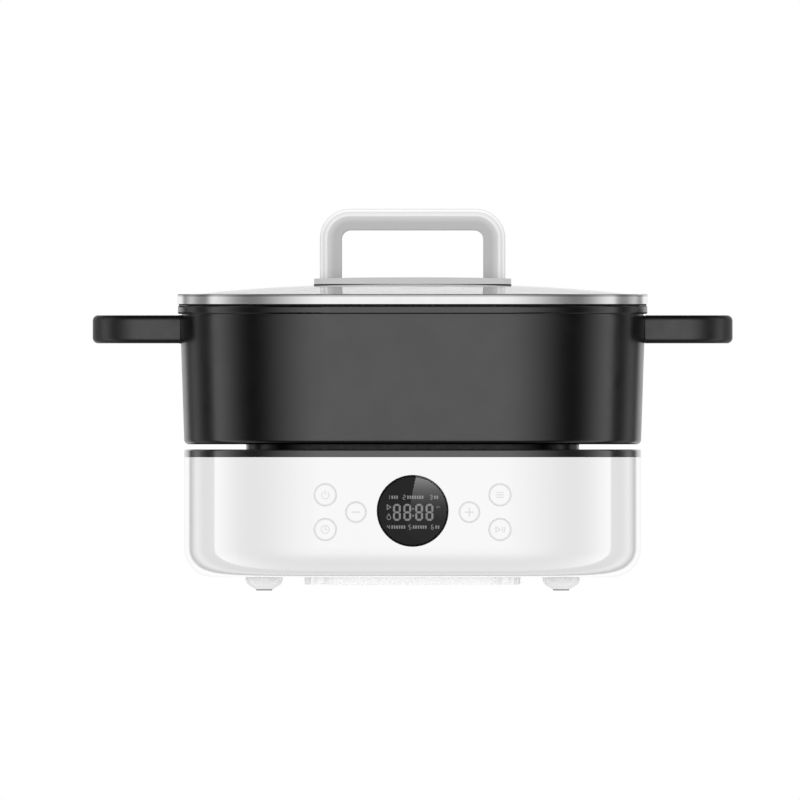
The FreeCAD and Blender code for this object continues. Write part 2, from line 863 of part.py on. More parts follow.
def bottom_cover():
    """White cover that closes the bottom, with a vented box in the middle that hangs below it."""
    body = new_body("bottom_cover")
    pad_between(body, "panel", base_bottom, cover_top, draw_outline, -S.cover_inset)
    box_bottom = base_bottom - S.vent_box_drop
    box_floor = box_bottom + S.cover_thickness

    def draw_vent_box(sketch, inset):
        size = S.vent_box_size - 2 * inset
        draw_box(sketch, Size(0), Size(0), size, size, S.vent_box_corner - inset)

    box = pad_between(body, "vent_box", box_bottom, base_bottom + JOIN, draw_vent_box, 0)
    round_edges(box, S.vent_box_edge, lambda edge: flat_at(edge, box_bottom))
    cut_between(body, "vent_hollow", box_floor, cover_top + BEYOND, draw_vent_box, S.cover_thickness)
    pad_between(body, "stands", box_floor - JOIN, board_bottom, draw_all, BOARD_HOLES, S.board_stand_radius)
    bore_floor = board_bottom - S.board_screw
    cut_between(body, "stand_bores", bore_floor, board_bottom, draw_all, BOARD_HOLES, tap_radius)

    # slots in two rows, with a rib between them
    slots = new_sketch(body, "vent_slots", "XY_Plane", box_floor)
    first_x, away = -S.vent_pitch * S.vent_pairs, (S.vent_length + S.vent_rib) / 2
    for side in (-1, 1):
        draw_box(slots, first_x, side * away, S.vent_width, S.vent_length, S.vent_corner)
    repeat_along_x(body, [pocket(slots, S.cover_thickness)], S.vent_pitch, 2 * S.vent_pairs + 1)
    screw_spots = [(side_x * post_x, side_y * post_y) for side_x, side_y in CORNERS.values()]
    cut_between(body, "screw_holes", base_bottom, cover_top, draw_all, screw_spots, S.screw_clear)
    return body


def top_cover():
    """Black deck: rim, plate, collar and well round the heater, skirt and four long posts."""
    body = new_body("top_cover")
    rim = pad_between(body, "deck", deck_bottom, deck_top, draw_outline)
    round_edges(rim, S.deck_edge, lambda edge: flat_at(edge, deck_top))
    outer = -S.housing_wall - S.fit_gap
    inner = outer - S.skirt_wall
    cut_between(body, "underside", deck_bottom, deck_under, draw_outline, inner)
    pad_between(body, "skirt", deck_bottom - S.skirt_depth, deck_bottom + JOIN, draw_frame, outer, inner)
    cut_between(body, "heater_opening", deck_under, deck_top, draw_circle, 0, 0, S.well_radius)
    well = S.well_radius + S.well_wall
    pad_between(body, "well", well_bottom, deck_under + JOIN, draw_ring, well, S.well_radius)
    collar_top = pot_bottom - S.collar_gap
    collar = S.well_radius + S.collar_wall
    wall = pad_between(body, "collar", deck_top - JOIN, collar_top, draw_ring, collar, S.well_radius)
    round_edges(wall, S.collar_edge, lambda edge: flat_at(edge, collar_top))

    # bosses on the well take the shield's screws, and long posts down to the bottom cover take the case's
    reach = S.shield_boss_ring * math.cos(math.radians(45))
    boss = pad_between(body, "boss", well_bottom, deck_under + JOIN, draw_circle, reach, reach, S.shield_boss)
    boss_top = well_bottom + S.shield_thread
    boss_bore = cut_between(body, "boss_bore", well_bottom, boss_top, draw_circle, reach, reach, tap_radius)
    corner = (post_x, post_y)
    post = pad_between(body, "post", cover_top, deck_under + JOIN, draw_circle, *corner, S.post_radius)
    post_bore = cut_between(body, "post_bore", cover_top, post_tap_top, draw_circle, *corner, tap_radius)
    mirror_four(body, [boss, boss_bore, post, post_bore])
    return body


def foot(name, side_x, side_y):
    """White foot with a straight cheek and a tapering tip. Its screw and its rubber pad sit in it."""
    body = new_body(f"foot_{name}")
    cheek = S.foot_height - S.foot_cheek
    pad_hole = S.pad_radius + S.fit_gap / 2
    recess = S.pad_height + S.fit_gap
    head = S.screw_head + S.head_clear
    profile = [
        (S.screw_clear, S.foot_height),
        (S.foot_radius, S.foot_height),
        (S.foot_radius, cheek),
        (S.foot_tip, S.pad_proud),
        (pad_hole, S.pad_proud),
        (pad_hole, recess),
        (head, recess),
        (head, foot_seat),
        (S.screw_clear, foot_seat),
    ]
    shape = turned(body, "profile", profile)
    widest = lambda edge: flat_at(edge, cheek) and abs(edge.BoundBox.XMax - S.foot_radius.value) < 0.01
    round_edges(shape, S.foot_edge, widest)
    place(body, side_x * post_x, side_y * post_y)
    return body


def foot_pads():
    """Four grey rubber pads that the object stands on."""
    body = new_body("foot_pads")
    disc = pad_between(body, "disc", Size(0), S.pad_height, draw_circle, post_x, post_y, S.pad_radius)
    edge = round_edges(disc, S.pad_edge, lambda e: flat_at(e, 0))
    mirror_four(body, [disc, edge])
    return body


def case_screws():
    """Four long screws, one up through each foot, that clamp the case together."""
    length = post_tap_top - foot_seat - S.bore_rest
    spots = [(x * post_x, y * post_y, foot_seat) for x, y in CORNERS.values()]
    return screws("case_screws", length, spots)


# ---------------------------------------------------------------------------------------------- front panel


def display_lens():
    """Round smoked window, flush with the housing, with a flange behind the wall."""
    body = new_body("display_lens")
    flange, back = S.lens_radius + S.lens_flange, S.housing_wall + S.lens_back
    profile = [
        (0, 0),
        (S.lens_radius, 0),
        (S.lens_radius, -S.housing_wall),
        (flange, -S.housing_wall),
        (flange, -back),
        (0, -back),
    ]
    turned(body, "profile", profile)
    place(body, 0, -half_depth, S.display_height, *FORWARD)
    return body


def key(label, x, z, radius):
    """Round key: flush cap, a lip behind the wall that keeps it in, and a stem into its switch."""
    body = new_body(label)
    lip = radius + S.key_gap + S.key_lip
    cap_back = S.housing_wall + S.fit_gap
    lip_back = cap_back + S.key_flange
    stem_end = S.panel_board_depth - S.switch_height + S.stem_entry
    profile = [
        (0, 0),
        (radius, 0),
        (radius, -cap_back),
        (lip, -cap_back),
        (lip, -lip_back),
        (S.stem_radius, -lip_back),
        (S.stem_radius, -stem_end),
        (0, -stem_end),
    ]
    cap = turned(body, "profile", profile)
    round_edges(cap, S.key_edge, lambda edge: flat_at(edge, 0))
    place(body, x, -half_depth, z, *FORWARD)
    return body


def key_switches():
    """Six push switches on the display board, each with the well that its key's stem moves in."""
    body = new_body("key_switches")
    blocks = new_sketch(body, "switch_blocks", "XZ_Plane", panel_board_front)
    wells = new_sketch(body, "switch_wells", "XZ_Plane", panel_board_front + S.switch_height)
    for x, z, _ in KEYS.values():
        draw_box(blocks, x, z, S.switch_size, S.switch_size, S.switch_corner)
        draw_circle(wells, x, z, S.stem_radius + S.plunger_gap)
    pad(blocks, S.switch_height)
    pocket(wells, S.stem_entry + S.key_travel + S.plunger_gap)
    return body


def display_board():
    """Upright circuit board behind the front wall."""
    body = new_body("display_board")
    board = new_sketch(body, "display_board_outline", "XZ_Plane", panel_board_front)
    draw_box(board, Size(0), S.display_height, S.panel_board_width, S.panel_board_height, S.board_corner)
    draw_all(board, PANEL_POSTS, S.screw_radius + S.fit_gap)
    pad(board, S.board_thickness, reverse=True)
    return body


def display_module():
    """Block of light segments in front of the display board."""
    body = new_body("display_module")
    block = new_sketch(body, "module_outline", "XZ_Plane", panel_board_front)
    draw_box(block, Size(0), S.display_height, S.module_width, S.module_height, S.module_corner)
    pad(block, S.module_depth)
    return body


def display_screws():
    """Four screws that hold the display board to the posts."""
    y = S.board_thickness - panel_board_front
    return screws("display_screws", S.panel_screw, [(x, y, z) for x, z in PANEL_POSTS], FORWARD)


# --------------------------------------------------------------------------------------------------- heater


def heating_plate():
    """Cast aluminium plate: a grooved ring below for the element, three posts and a hole for the probe."""
    body = new_body("heating_plate")
    radius = S.well_radius - S.plate_gap
    groove = S.element_radius + S.element_fit
    boss_bottom, roof = plate_bottom - boss_depth, plate_bottom - S.element_cover
    profile = [
        (S.sensor_hole, plate_top),
        (radius, plate_top),
        (radius, plate_bottom),
        (S.element_ring + S.element_boss, plate_bottom),
        (S.element_ring + S.element_boss, boss_bottom),
        (S.element_ring + groove, boss_bottom),
        (S.element_ring + groove, roof),
        (S.element_ring - groove, roof),
        (S.element_ring - groove, boss_bottom),
        (S.element_ring - S.element_boss, boss_bottom),
        (S.element_ring - S.element_boss, plate_bottom),
        (S.sensor_hole, plate_bottom),
    ]
    plate = turned(body, "profile", profile)
    bevel_edges(plate, S.plate_edge, lambda edge: flat_at(edge, plate_top))
    near = S.element_ring - S.element_boss - S.boss_gap / 4
    far = S.element_ring + S.element_boss + BEYOND
    gap = (-S.boss_gap, near, S.boss_gap, far, S.boss_gap_corner)
    cut_between(body, "boss_gap", boss_bottom, plate_bottom, draw_rounded, *gap)
    clip_end = plate_bottom + S.clip_thread
    cut_between(body, "clip_bore", plate_bottom, clip_end, draw_circle, fuse_screw_x, -S.fuse_y, tap_radius)
    spot = (0, S.spacer_ring)
    post_end = plate_bottom - S.plate_post
    post = pad_between(body, "post", post_end, plate_bottom + JOIN, draw_circle, *spot, S.spacer_radius)
    bore_end = post_end + S.spacer_thread
    bore = cut_between(body, "post_bore", post_end, bore_end, draw_circle, *spot, tap_radius)
    repeat_round(body, [post, bore], 3)
    return body


def heating_element():
    """Tube element: an open ring in the plate's groove, both ends turned down."""
    ring, gap, level = S.element_ring.value, math.radians(S.element_gap.value), element_level.value
    bend, tail = S.element_bend.value, S.element_tail.value

    def end(side):
        """One end of the ring, the middle and end of its bend, and the end of its tail."""
        start = V(side * ring * math.sin(gap), ring * math.cos(gap), level)
        along = V(-side * math.cos(gap), math.sin(gap), 0)
        centre = start - V(0, 0, bend)
        middle = centre + (along + V(0, 0, 1)).normalize() * bend
        finish = centre + along * bend
        return start, middle, finish, finish - V(0, 0, tail)

    left, right = end(-1), end(1)
    spine = Part.Wire(
        [
            Part.LineSegment(left[3], left[2]).toShape(),
            Part.Arc(left[2], left[1], left[0]).toShape(),
            Part.Arc(left[0], V(0, -ring, level), right[0]).toShape(),
            Part.Arc(right[0], right[1], right[2]).toShape(),
            Part.LineSegment(right[2], right[3]).toShape(),
        ]
    )
    section = Part.Wire([Part.makeCircle(S.element_radius.value, left[3], V(0, 0, 1))])
    return shaped("heating_element", spine.makePipeShell([section], True, False))


def tail_spot(side):
    """Where one tail of the element comes down, seen from above."""
    gap = math.radians(S.element_gap.value)
    x = S.element_ring * math.sin(gap) - S.element_bend * math.cos(gap)
    y = S.element_ring * math.cos(gap) + S.element_bend * math.sin(gap)
    return side * x, y


def spacer_spots():
    """The three places of the plate's posts, seen from above."""
    angles = [math.radians(90 + 120 * step) for step in range(3)]
    return [(S.spacer_ring * math.cos(a), S.spacer_ring * math.sin(a)) for a in angles]


def shield_spots():
    reach = S.shield_boss_ring * math.cos(math.radians(45))
    return [(x * reach, y * reach) for x, y in CORNERS.values()]


def heat_shield():
    """Steel pan that hangs under the heater from the top cover and carries the heater's posts."""
    body = new_body("heat_shield")
    floor, rim_level = shield_top - S.shield_steel, well_bottom - S.shield_steel
    profile = [
        (S.shield_bore, floor),
        (S.shield_dish + S.shield_steel, floor),
        (S.shield_dish + S.shield_steel, rim_level),
        (S.shield_flange, rim_level),
        (S.shield_flange, well_bottom),
        (S.shield_dish, well_bottom),
        (S.shield_dish, shield_top),
        (S.shield_bore, shield_top),
    ]
    turned(body, "profile", profile)
    loose = S.screw_radius + S.fit_gap
    tails = [tail_spot(side) for side in (-1, 1)]
    cut_between(body, "rim_holes", rim_level, well_bottom, draw_all, shield_spots(), loose)
    cut_between(body, "post_holes", floor, shield_top, draw_all, spacer_spots() + GUIDE_SPOTS, loose)
    cut_between(body, "tail_holes", floor, shield_top, draw_all, tails, S.element_radius + S.tail_clearance)
    return body


def heater_standoffs():
    """Three sleeves between the shield and the plate's posts."""
    body = new_body("heater_standoffs")
    high = plate_bottom - S.plate_post
    sketch = new_sketch(body, "sleeves", "XY_Plane", shield_top)
    for x, y in spacer_spots():
        draw_circle(sketch, x, y, S.spacer_radius)
        draw_circle(sketch, x, y, S.screw_radius + S.fit_gap)
    pad(sketch, high - shield_top)
    return body


def heater_screws():
    """Screws up through the shield into the plate and the top cover, and down through the probe's guide."""
    below = shield_top - S.shield_steel
    rim_level = well_bottom - S.shield_steel
    clip_level = plate_bottom - S.clip_steel
    through = plate_bottom - S.plate_post - below + S.spacer_thread - S.bore_rest
    sets = [
        (through, below, spacer_spots(), UP),
        (S.shield_steel + S.shield_thread - S.bore_rest, rim_level, shield_spots(), UP),
        (S.guide_screw, shield_top + S.guide_foot_height, GUIDE_SPOTS, DOWN),
        (S.clip_steel + S.clip_thread - S.bore_rest, clip_level, [(fuse_screw_x, -S.fuse_y)], UP),
    ]
    solids = []
    for kind, (length, level, spots, way) in enumerate(sets):
        for number, (x, y) in enumerate(spots):
            solids.append(screw(f"heater_screw_{kind}_{number}", length, x, y, level, *way))
    return joined("Part::Compound", "heater_screws", Links=solids)


def thermal_fuse():
    """Small fuse that lies against the underside of the heating plate."""
    body = new_body("thermal_fuse")
    half = S.fuse_length / 2
    profile = [
        (0, -half),
        (S.fuse_radius - S.fuse_bevel, -half),
        (S.fuse_radius, S.fuse_bevel - half),
        (S.fuse_radius, half - S.fuse_bevel),
        (S.fuse_radius - S.fuse_bevel, half),
        (0, half),
    ]
    turned(body, "profile", profile)
    place(body, 0, -S.fuse_y, plate_bottom - S.fuse_radius, V(0, 1, 0), 90)
    return body


def fuse_clip():
    """Bent steel strap that presses the fuse to the plate."""
    body = new_body("fuse_clip")
    strap = new_sketch(body, "strap", "XZ_Plane", S.fuse_y + S.clip_width / 2)
    under = plate_bottom - 2 * S.fuse_radius
    half = S.fuse_length / 2
    end, step = half + S.clip_reach, half + S.clip_slack
    profile = [
        (end, plate_bottom),
        (step, plate_bottom),
        (step, under),
        (-half, under),
        (-half, under - S.clip_steel),
        (step + S.clip_steel, under - S.clip_steel),
        (step + S.clip_steel, plate_bottom - S.clip_steel),
        (end, plate_bottom - S.clip_steel),
    ]
    draw_polygon(strap, profile)
    pad(strap, S.clip_width, reverse=True)
    loose = S.screw_radius + S.fit_gap
    clip_level = plate_bottom - S.clip_steel
    cut_between(body, "hole", clip_level, plate_bottom, draw_circle, fuse_screw_x, -S.fuse_y, loose)
    return body


# ---------------------------------------------------------------------------------------- temperature probe


def sensor_guide():
    """Tube that the probe slides on, screwed to the shield."""
    body = new_body("sensor_guide")
    foot_top = shield_top + S.guide_foot_height
    inner, lip = S.guide_radius - S.guide_wall, S.guide_radius + S.guide_lip
    profile = [
        (S.shield_bore, shield_top),
        (S.guide_foot, shield_top),
        (S.guide_foot, foot_top),
        (S.guide_radius, foot_top),
        (S.guide_radius, guide_top - S.guide_lip_height),
        (lip, guide_top - S.guide_lip_height),
        (lip, guide_top),
        (inner, guide_top),
        (inner, foot_top),
        (S.shield_bore, foot_top),
    ]
    turned(body, "profile", profile)
    cut_between(body, "holes", shield_top, foot_top, draw_all, GUIDE_SPOTS, S.screw_radius + S.fit_gap)
    return body


def sensor_cap():
    """Cap of the probe: it touches the pot, and the guide's lip catches its skirt when the pot is lifted."""
    body = new_body("sensor_cap")
    inner, bottom = S.cap_radius - S.cap_wall, plate_top - S.cap_skirt
    catch = S.guide_radius + S.cap_catch
    profile = [
        (0, plate_top),
        (S.cap_radius, plate_top),
        (S.cap_radius, bottom),
        (catch, bottom),
        (catch, bottom + S.cap_lip),
        (inner, bottom + S.cap_lip),
        (inner, plate_top - S.cap_top),
        (0, plate_top - S.cap_top),
    ]
    shell = turned(body, "profile", profile)
    round_edges(shell, S.cap_edge, lambda edge: flat_at(edge, plate_top))
    return body


def thermistor():
    """Bead in its holder, pressed against the inside of the cap."""
    body = new_body("thermistor")
    top = plate_top - S.cap_top
    bottom = top - S.bead_length
    profile = [
        (0, top),
        (S.bead_radius, top),
        (S.bead_radius, bottom + S.bead_bevel),
        (S.bead_radius - S.bead_bevel, bottom),
        (0, bottom),
    ]
    turned(body, "profile", profile)
    return body


def sensor_spring():
    """Coil spring from the guide's foot to the cap: half rings, each tilted to climb half a turn."""
    low = shield_top + S.guide_foot_height + S.spring_wire
    height = (plate_top - S.cap_top - S.spring_wire - low).value
    halves = 2 * int(round(S.spring_turns.value))
    climb, radius = height / halves, S.spring_radius.value
    half_rings = []
    for step in range(halves):
        side = 1 if step % 2 == 0 else -1
        start, end = V(side * radius, 0, step * climb), V(-side * radius, 0, (step + 1) * climb)
        section = Part.Face(Part.Wire([Part.makeCircle(S.spring_wire.value, start, V(0, 1, 0))]))
        half_rings.append(section.revolve((start + end) / 2, V(side * climb / 2, 0, radius), 180))
    return shaped("sensor_spring", half_rings[0].multiFuse(half_rings[1:]), lift=low)


# ---------------------------------------------------------------------------------------------- power board


def power_board():
    body = new_body("power_board")
    sketch = new_sketch(body, "power_board_outline", "XY_Plane", board_bottom)
    draw_box(sketch, Size(0), S.power_board_y, S.power_board_width, S.power_board_depth, S.board_corner)
    draw_all(sketch, BOARD_HOLES, S.screw_radius + S.fit_gap)
    pad(sketch, S.board_thickness)
    return body


def board_screws():
    spots = [(x, y, board_top) for x, y in BOARD_HOLES]
    return screws("board_screws", S.board_screw, spots, DOWN)


def transformer():
    """Iron core with a bobbin through it."""
    body = new_body("transformer")
    spot = (S.transformer_x, S.transformer_y)
    core = (S.transformer_width, S.core_depth, S.core_corner)
    bobbin = (S.bobbin_width, S.transformer_depth, S.bobbin_corner)
    pad_between(body, "bobbin", board_top, board_top + S.bobbin_height, draw_box, *spot, *bobbin)
    core_top = board_top + S.transformer_height
    pad_between(body, "core", board_top + S.core_lift, core_top, draw_box, *spot, *core)
    return body


def relay():
    body = new_body("relay")
    spot = (S.relay_x, S.relay_y)
    high = board_top + S.relay_height
    size = (S.relay_width, S.relay_depth, S.relay_corner)
    case = pad_between(body, "case", board_top, high, draw_box, *spot, *size)
    round_edges(case, S.relay_edge, lambda edge: flat_at(edge, high))
    return body


def capacitor():
    """Upright can with a scored top."""
    body = new_body("capacitor")
    spot = (S.capacitor_x, S.capacitor_y)
    high = board_top + S.capacitor_height
    can = pad_between(body, "can", board_top, high, draw_circle, *spot, S.capacitor_radius)
    round_edges(can, S.capacitor_edge, lambda edge: flat_at(edge, high))
    score = (S.score_length, S.score_width, S.score_corner)
    cut_between(body, "score", high - S.score_depth, high, draw_box, *spot, *score)
    return body


def terminal_block():
    """Two-way block: a screw well above each wire entry."""
    body = new_body("terminal_block")
    spot = (S.terminal_x, S.terminal_y)
    high = board_top + S.terminal_height
    size = (S.terminal_width, S.terminal_depth, S.terminal_corner)
    pad_between(body, "block", board_top, high, draw_box, *spot, *size)
    wells = new_sketch(body, "terminal_wells", "XY_Plane", high)
    entries = new_sketch(body, "terminal_entries", "XZ_Plane", -S.terminal_y - S.terminal_depth / 2)
    for x in TERMINALS:
        draw_circle(wells, x, S.terminal_y, S.terminal_well)
        draw_circle(entries, x, terminal_level, S.wire_radius + S.fit_gap)
    pocket(wells, S.terminal_well_depth)
    pocket(entries, S.terminal_depth / 2, reverse=True)
    return body


# ---------------------------------------------------------------------------------------------- mains inlet


def power_inlet():
    """Appliance inlet: flange outside the back wall, a deep socket and a floor that holds the pins."""
    body = new_body("power_inlet")
    outer = half_depth + S.inlet_flange
    frame = 2 * S.inlet_wall
    flange = new_sketch(body, "inlet_flange", "XZ_Plane", -half_depth)
    size = (S.inlet_flange_width, S.inlet_flange_tall, S.inlet_flange_corner)
    draw_box(flange, Size(0), S.inlet_height, *size)
    plate = pad(flange, S.inlet_flange, reverse=True)
    round_edges(plate, S.inlet_flange_edge, lambda edge: flat_at(edge, outer, "Y"))
    shell = new_sketch(body, "inlet_shell", "XZ_Plane", -half_depth - S.inlet_flange / 2)
    wide, tall = S.inlet_width + frame, S.inlet_tall + frame
    draw_box(shell, Size(0), S.inlet_height, wide, tall, S.inlet_shell_corner)
    pad(shell, half_depth + S.inlet_flange / 2 - inlet_inner_face)
    socket = new_sketch(body, "inlet_socket", "XZ_Plane", -outer)
    draw_box(socket, Size(0), S.inlet_height, S.inlet_width, S.inlet_tall, S.inlet_socket_corner)
    pocket(socket, outer - inlet_cavity_back, reverse=True)
    pin_holes = new_sketch(body, "inlet_pin_holes", "XZ_Plane", -inlet_cavity_back)
    for x, z in PINS:
        draw_box(pin_holes, x, z, S.pin_wide + S.pin_fit, S.pin_tall + S.pin_fit, S.pin_corner)
    pocket(pin_holes, S.inlet_back, reverse=True)
    sinks = new_sketch(body, "inlet_sinks", "XZ_Plane", -outer)
    holes = new_sketch(body, "inlet_screw_holes", "XZ_Plane", -outer)
    for x, _ in INLET_SCREWS:
        draw_circle(sinks, x, S.inlet_height, S.screw_head + S.fit_gap)
        draw_circle(holes, x, S.inlet_height, S.screw_radius + S.fit_gap)
    pocket(sinks, S.inlet_sink, reverse=True)
    pocket(holes, S.inlet_flange, reverse=True)
    return body


def inlet_pins():
    """Three flat pins: live and neutral below, earth above."""
    body = new_body("inlet_pins")
    sketch = new_sketch(body, "pins", "XZ_Plane", -inlet_cavity_back - S.pin_length)
    for x, z in PINS:
        draw_box(sketch, x, z, S.pin_wide, S.pin_tall, S.pin_corner)
    pad(sketch, S.pin_length + S.inlet_back + S.pin_tail)
    return body


def inlet_screws():
    y = half_depth + S.inlet_flange - S.inlet_sink
    return screws("inlet_screws", S.inlet_screw, [(x, y, z) for x, z in INLET_SCREWS], FORWARD)


# ---------------------------------------------------------------------------------------------------- wires


def mains_wires():
    """Two insulated wires from the inlet's pins to the terminal block."""
    solids = []
    for (x, z), entry in zip((PINS[0], PINS[2]), TERMINALS):
        end_y = S.terminal_y + S.terminal_depth / 2
        route = [point(x, pin_end, z), point(x, pin_end - 16, z), point(entry, end_y + 18, terminal_level)]
        route.append(point(entry, end_y, terminal_level))
        solids.append(tube(route, S.wire_radius))
    return shaped("mains_wires", Part.makeCompound(solids))


def earth_wire():
    """Insulated wire from the earth pin to the heat shield's rim."""
    x, z = PINS[1]
    rim_level = well_bottom - S.shield_steel
    end_x, end_y = -S.shield_boss_ring * 0.62, S.shield_boss_ring * 0.77
    route = [point(x, pin_end, z), point(x, pin_end - 12, z), point(x - 36, pin_end - 20, z + 6)]
    route += [point(end_x, end_y, rim_level - 20), point(end_x, end_y, rim_level)]
    return shaped("earth_wire", tube(route, S.wire_radius))


def heater_wires():
    """Two heat-proof wires from the element's tails to the power board."""
    solids = []
    tail_end = element_level - S.element_bend - S.element_tail
    edge_y = S.power_board_y + S.power_board_depth / 2 - S.board_hole_inset
    for side, land_x in ((-1, -4), (1, 8)):
        x, y = tail_spot(side)
        route = [point(x, y, tail_end), point(x, y, tail_end - 9), point(land_x, edge_y, board_top + 9)]
        route.append(point(land_x, edge_y, board_top))
        solids.append(tube(route, S.wire_radius))
    return shaped("heater_wires", Part.makeCompound(solids))


def sensor_wire():
    """Thin two-core lead from the bead through the guide to the power board."""
    top = plate_top - S.cap_top - S.bead_length
    below = shield_top - 12
    route = [point(0, 0, top), point(0, 0, below), point(-16, 4, below - 14)]
    route += [point(-22, 6, board_top + 10), point(-22, 6, board_top)]
    return shaped("sensor_wire", tube(route, S.thin_wire_radius))


def display_cable():
    """Flat ribbon from the back of the display board down and along to the power board."""
    body = new_body("display_cable")
    start = S.board_thickness - panel_board_front
    far, edge = start + S.ribbon_reach, S.power_board_y - S.power_board_depth / 2 + S.ribbon_inset
    thick, bevel = S.ribbon_thickness, S.ribbon_bevel
    low, level = board_top + S.ribbon_lift, S.display_height - S.ribbon_drop
    ribbon = new_sketch(body, "ribbon_side", "YZ_Plane", -S.ribbon_width / 2)
    profile = [
        (start, level),
        (far - bevel, level),
        (far, level - bevel),
        (far, low + thick + bevel),
        (far + bevel, low + thick),
        (edge - bevel, low + thick),
        (edge, low + thick - bevel),
        (edge, board_top),
        (edge - thick, board_top),
        (edge - thick, low - bevel),
        (edge - thick - bevel, low),
        (far - thick + bevel, low),
        (far - thick, low + bevel),
        (far - thick, level - thick - bevel),
        (far - thick - bevel, level - thick),
        (start, level - thick),
    ]
    draw_polygon(ribbon, profile)
    pad(ribbon, S.ribbon_width)
    return body


# ------------------------------------------------------------------------------------------------------ pot


def pot_grow(level):
    """How far the pot's outer wall stands beyond the base's outline at a level."""
    return pot_lean * (level - pot_bottom) - S.pot_inset


def pot():
    """Cast pot: leaning walls, a rolled flange over a neck, a round foot and two lugs on each side."""
    body = new_body("pot")
    top_grow = pot_grow(wall_top)
    wall = leaning(pad_between(body, "wall", pot_bottom, wall_top, draw_outline, pot_grow(pot_bottom)))
    round_edges(wall, S.pot_edge, lambda edge: flat_at(edge, pot_bottom))
    pad_between(body, "neck", wall_top - JOIN, neck_top + JOIN, draw_outline, top_grow - S.neck_depth)
    lip_grow = top_grow + S.flange_overhang
    lip = pad_between(body, "flange", neck_top, flange_top, draw_outline, lip_grow)
    lip_end = lambda edge: flat_at(edge, flange_top) or flat_at(edge, neck_top)
    round_edges(lip, S.flange_edge, lambda edge: lip_end(edge) and on_outline(edge, lip_grow))
    floor = pot_bottom + S.pot_floor
    inside = new_sketch(body, "pot_bowl", "XY_Plane", floor)
    draw_outline(inside, pot_grow(floor) - S.pot_wall)
    bowl = leaning(pocket(inside, flange_top - floor, reverse=True))
    round_edges(bowl, S.bowl_round, lambda edge: flat_at(edge, floor))
    foot_bottom = pot_bottom - S.pot_foot_depth
    disc = pad_between(body, "foot", foot_bottom, pot_bottom + JOIN, draw_circle, 0, 0, S.pot_foot_radius)
    round_edges(disc, S.pot_foot_edge, lambda edge: flat_at(edge, foot_bottom))
    middle = (grip_top + grip_bottom) / 2
    low, high = middle - S.lug_height / 2, middle + S.lug_height / 2
    near, far = grip_root - S.pot_wall / 2, grip_root + S.lug_length
    block = (near, lug_y - S.lug_width / 2, far, lug_y + S.lug_width / 2, S.lug_corner)
    lug = pad_between(body, "lug", low, high, draw_rounded, *block)
    hole = cut_between(body, "lug_hole", low, high, draw_circle, lug_screw_x, lug_y, tap_radius)
    mirror_four(body, [lug, hole])
    return body


def pot_handle():
    """Loop grip of the right side: two legs that slip over the pot's lugs, and a bar between them."""
    body = new_body("pot_handle_right")
    root, tip = grip_root, grip_root + S.grip_reach
    half, hole = S.grip_width / 2, S.grip_width / 2 - S.grip_bar
    behind = root - 2 * S.grip_corner
    levels = (grip_bottom, grip_top)
    pad_between(body, "loop", *levels, draw_rounded, behind, -half, tip, half, S.grip_corner)
    gap = (behind, -hole, tip - S.grip_bar, hole, S.grip_corner - S.grip_bar)
    cut_between(body, "gap", *levels, draw_rounded, *gap)
    inside = (behind - BEYOND, -half - BEYOND, root, half + BEYOND, BEYOND / 2)
    trim = cut_between(body, "trim", *levels, draw_rounded, *inside)
    level = lambda edge: flat_at(edge, grip_top) or flat_at(edge, grip_bottom)
    round_edges(trim, S.grip_edge, lambda edge: level(edge) and not flat_at(edge, root, "X"))
    middle = (grip_top + grip_bottom) / 2
    tall, wide = S.lug_height / 2 + S.lug_fit, S.lug_width / 2 + S.lug_fit
    socket = new_sketch(body, "lug_sockets", "XY_Plane", middle + tall)
    bore = new_sketch(body, "lug_screw_bores", "XY_Plane", grip_bottom)
    sink = new_sketch(body, "lug_screw_sinks", "XY_Plane", grip_bottom)
    for side in (-1, 1):
        y = side * lug_y
        draw_rounded(socket, root - BEYOND, y - wide, root + S.lug_length + S.lug_fit, y + wide, S.lug_corner)
        draw_circle(bore, lug_screw_x, y, S.screw_radius + S.fit_gap)
        draw_circle(sink, lug_screw_x, y, S.head_recess)
    pocket(socket, 2 * tall)
    pocket(bore, middle - grip_bottom, reverse=True)
    pocket(sink, S.screw_head_height + S.head_clear, reverse=True)
    return body


def pot_handle_screws():
    """Two screws in each grip, up into the pot's lugs."""
    level = grip_bottom + S.screw_head_height + S.head_clear
    spots = [(x * lug_screw_x, y * lug_y, level) for x, y in CORNERS.values()]
    return screws("pot_handle_screws", S.lug_screw, spots)


# ------------------------------------------------------------------------------------------------------ lid


def lid_rim():
    """Steel ring that holds the glass, with a skirt that centres the lid in the pot."""
    body = new_body("lid_rim")
    inner = rim_grow - S.rim_foot
    ring = pad_between(body, "ring", rim_bottom, rim_top, draw_frame, rim_grow, inner)
    outer = lambda edge: on_outline(edge, rim_grow) and not flat_at(edge, rim_bottom)
    round_edges(ring, S.rim_edge, lambda edge: outer(edge) and flat_at(edge, rim_top))
    channel = (rim_grow - S.rim_steel, inner - JOIN)
    low, high = rim_bottom + S.rim_steel, rim_top - S.rim_steel
    cut_between(body, "channel", low, high, draw_frame, *channel)
    cut_between(body, "lip", high, rim_top, draw_frame, rim_grow - S.rim_lip, inner - JOIN)
    seat = rim_bottom - S.lid_gap + S.seat_clearance
    seat_outer = rim_grow - S.rim_overhang - S.flange_overhang
    pad_between(body, "seat", seat, rim_bottom + JOIN, draw_frame, seat_outer, inner)
    skirt_outer = pot_grow(flange_top) - S.pot_wall - S.rim_skirt_gap
    skirt = (skirt_outer, skirt_outer - S.rim_steel)
    pad_between(body, "skirt", flange_top - S.rim_skirt, low, draw_frame, *skirt)
    pad_between(body, "bridge", rim_bottom, low, draw_frame, inner + JOIN, skirt[1])
    return body


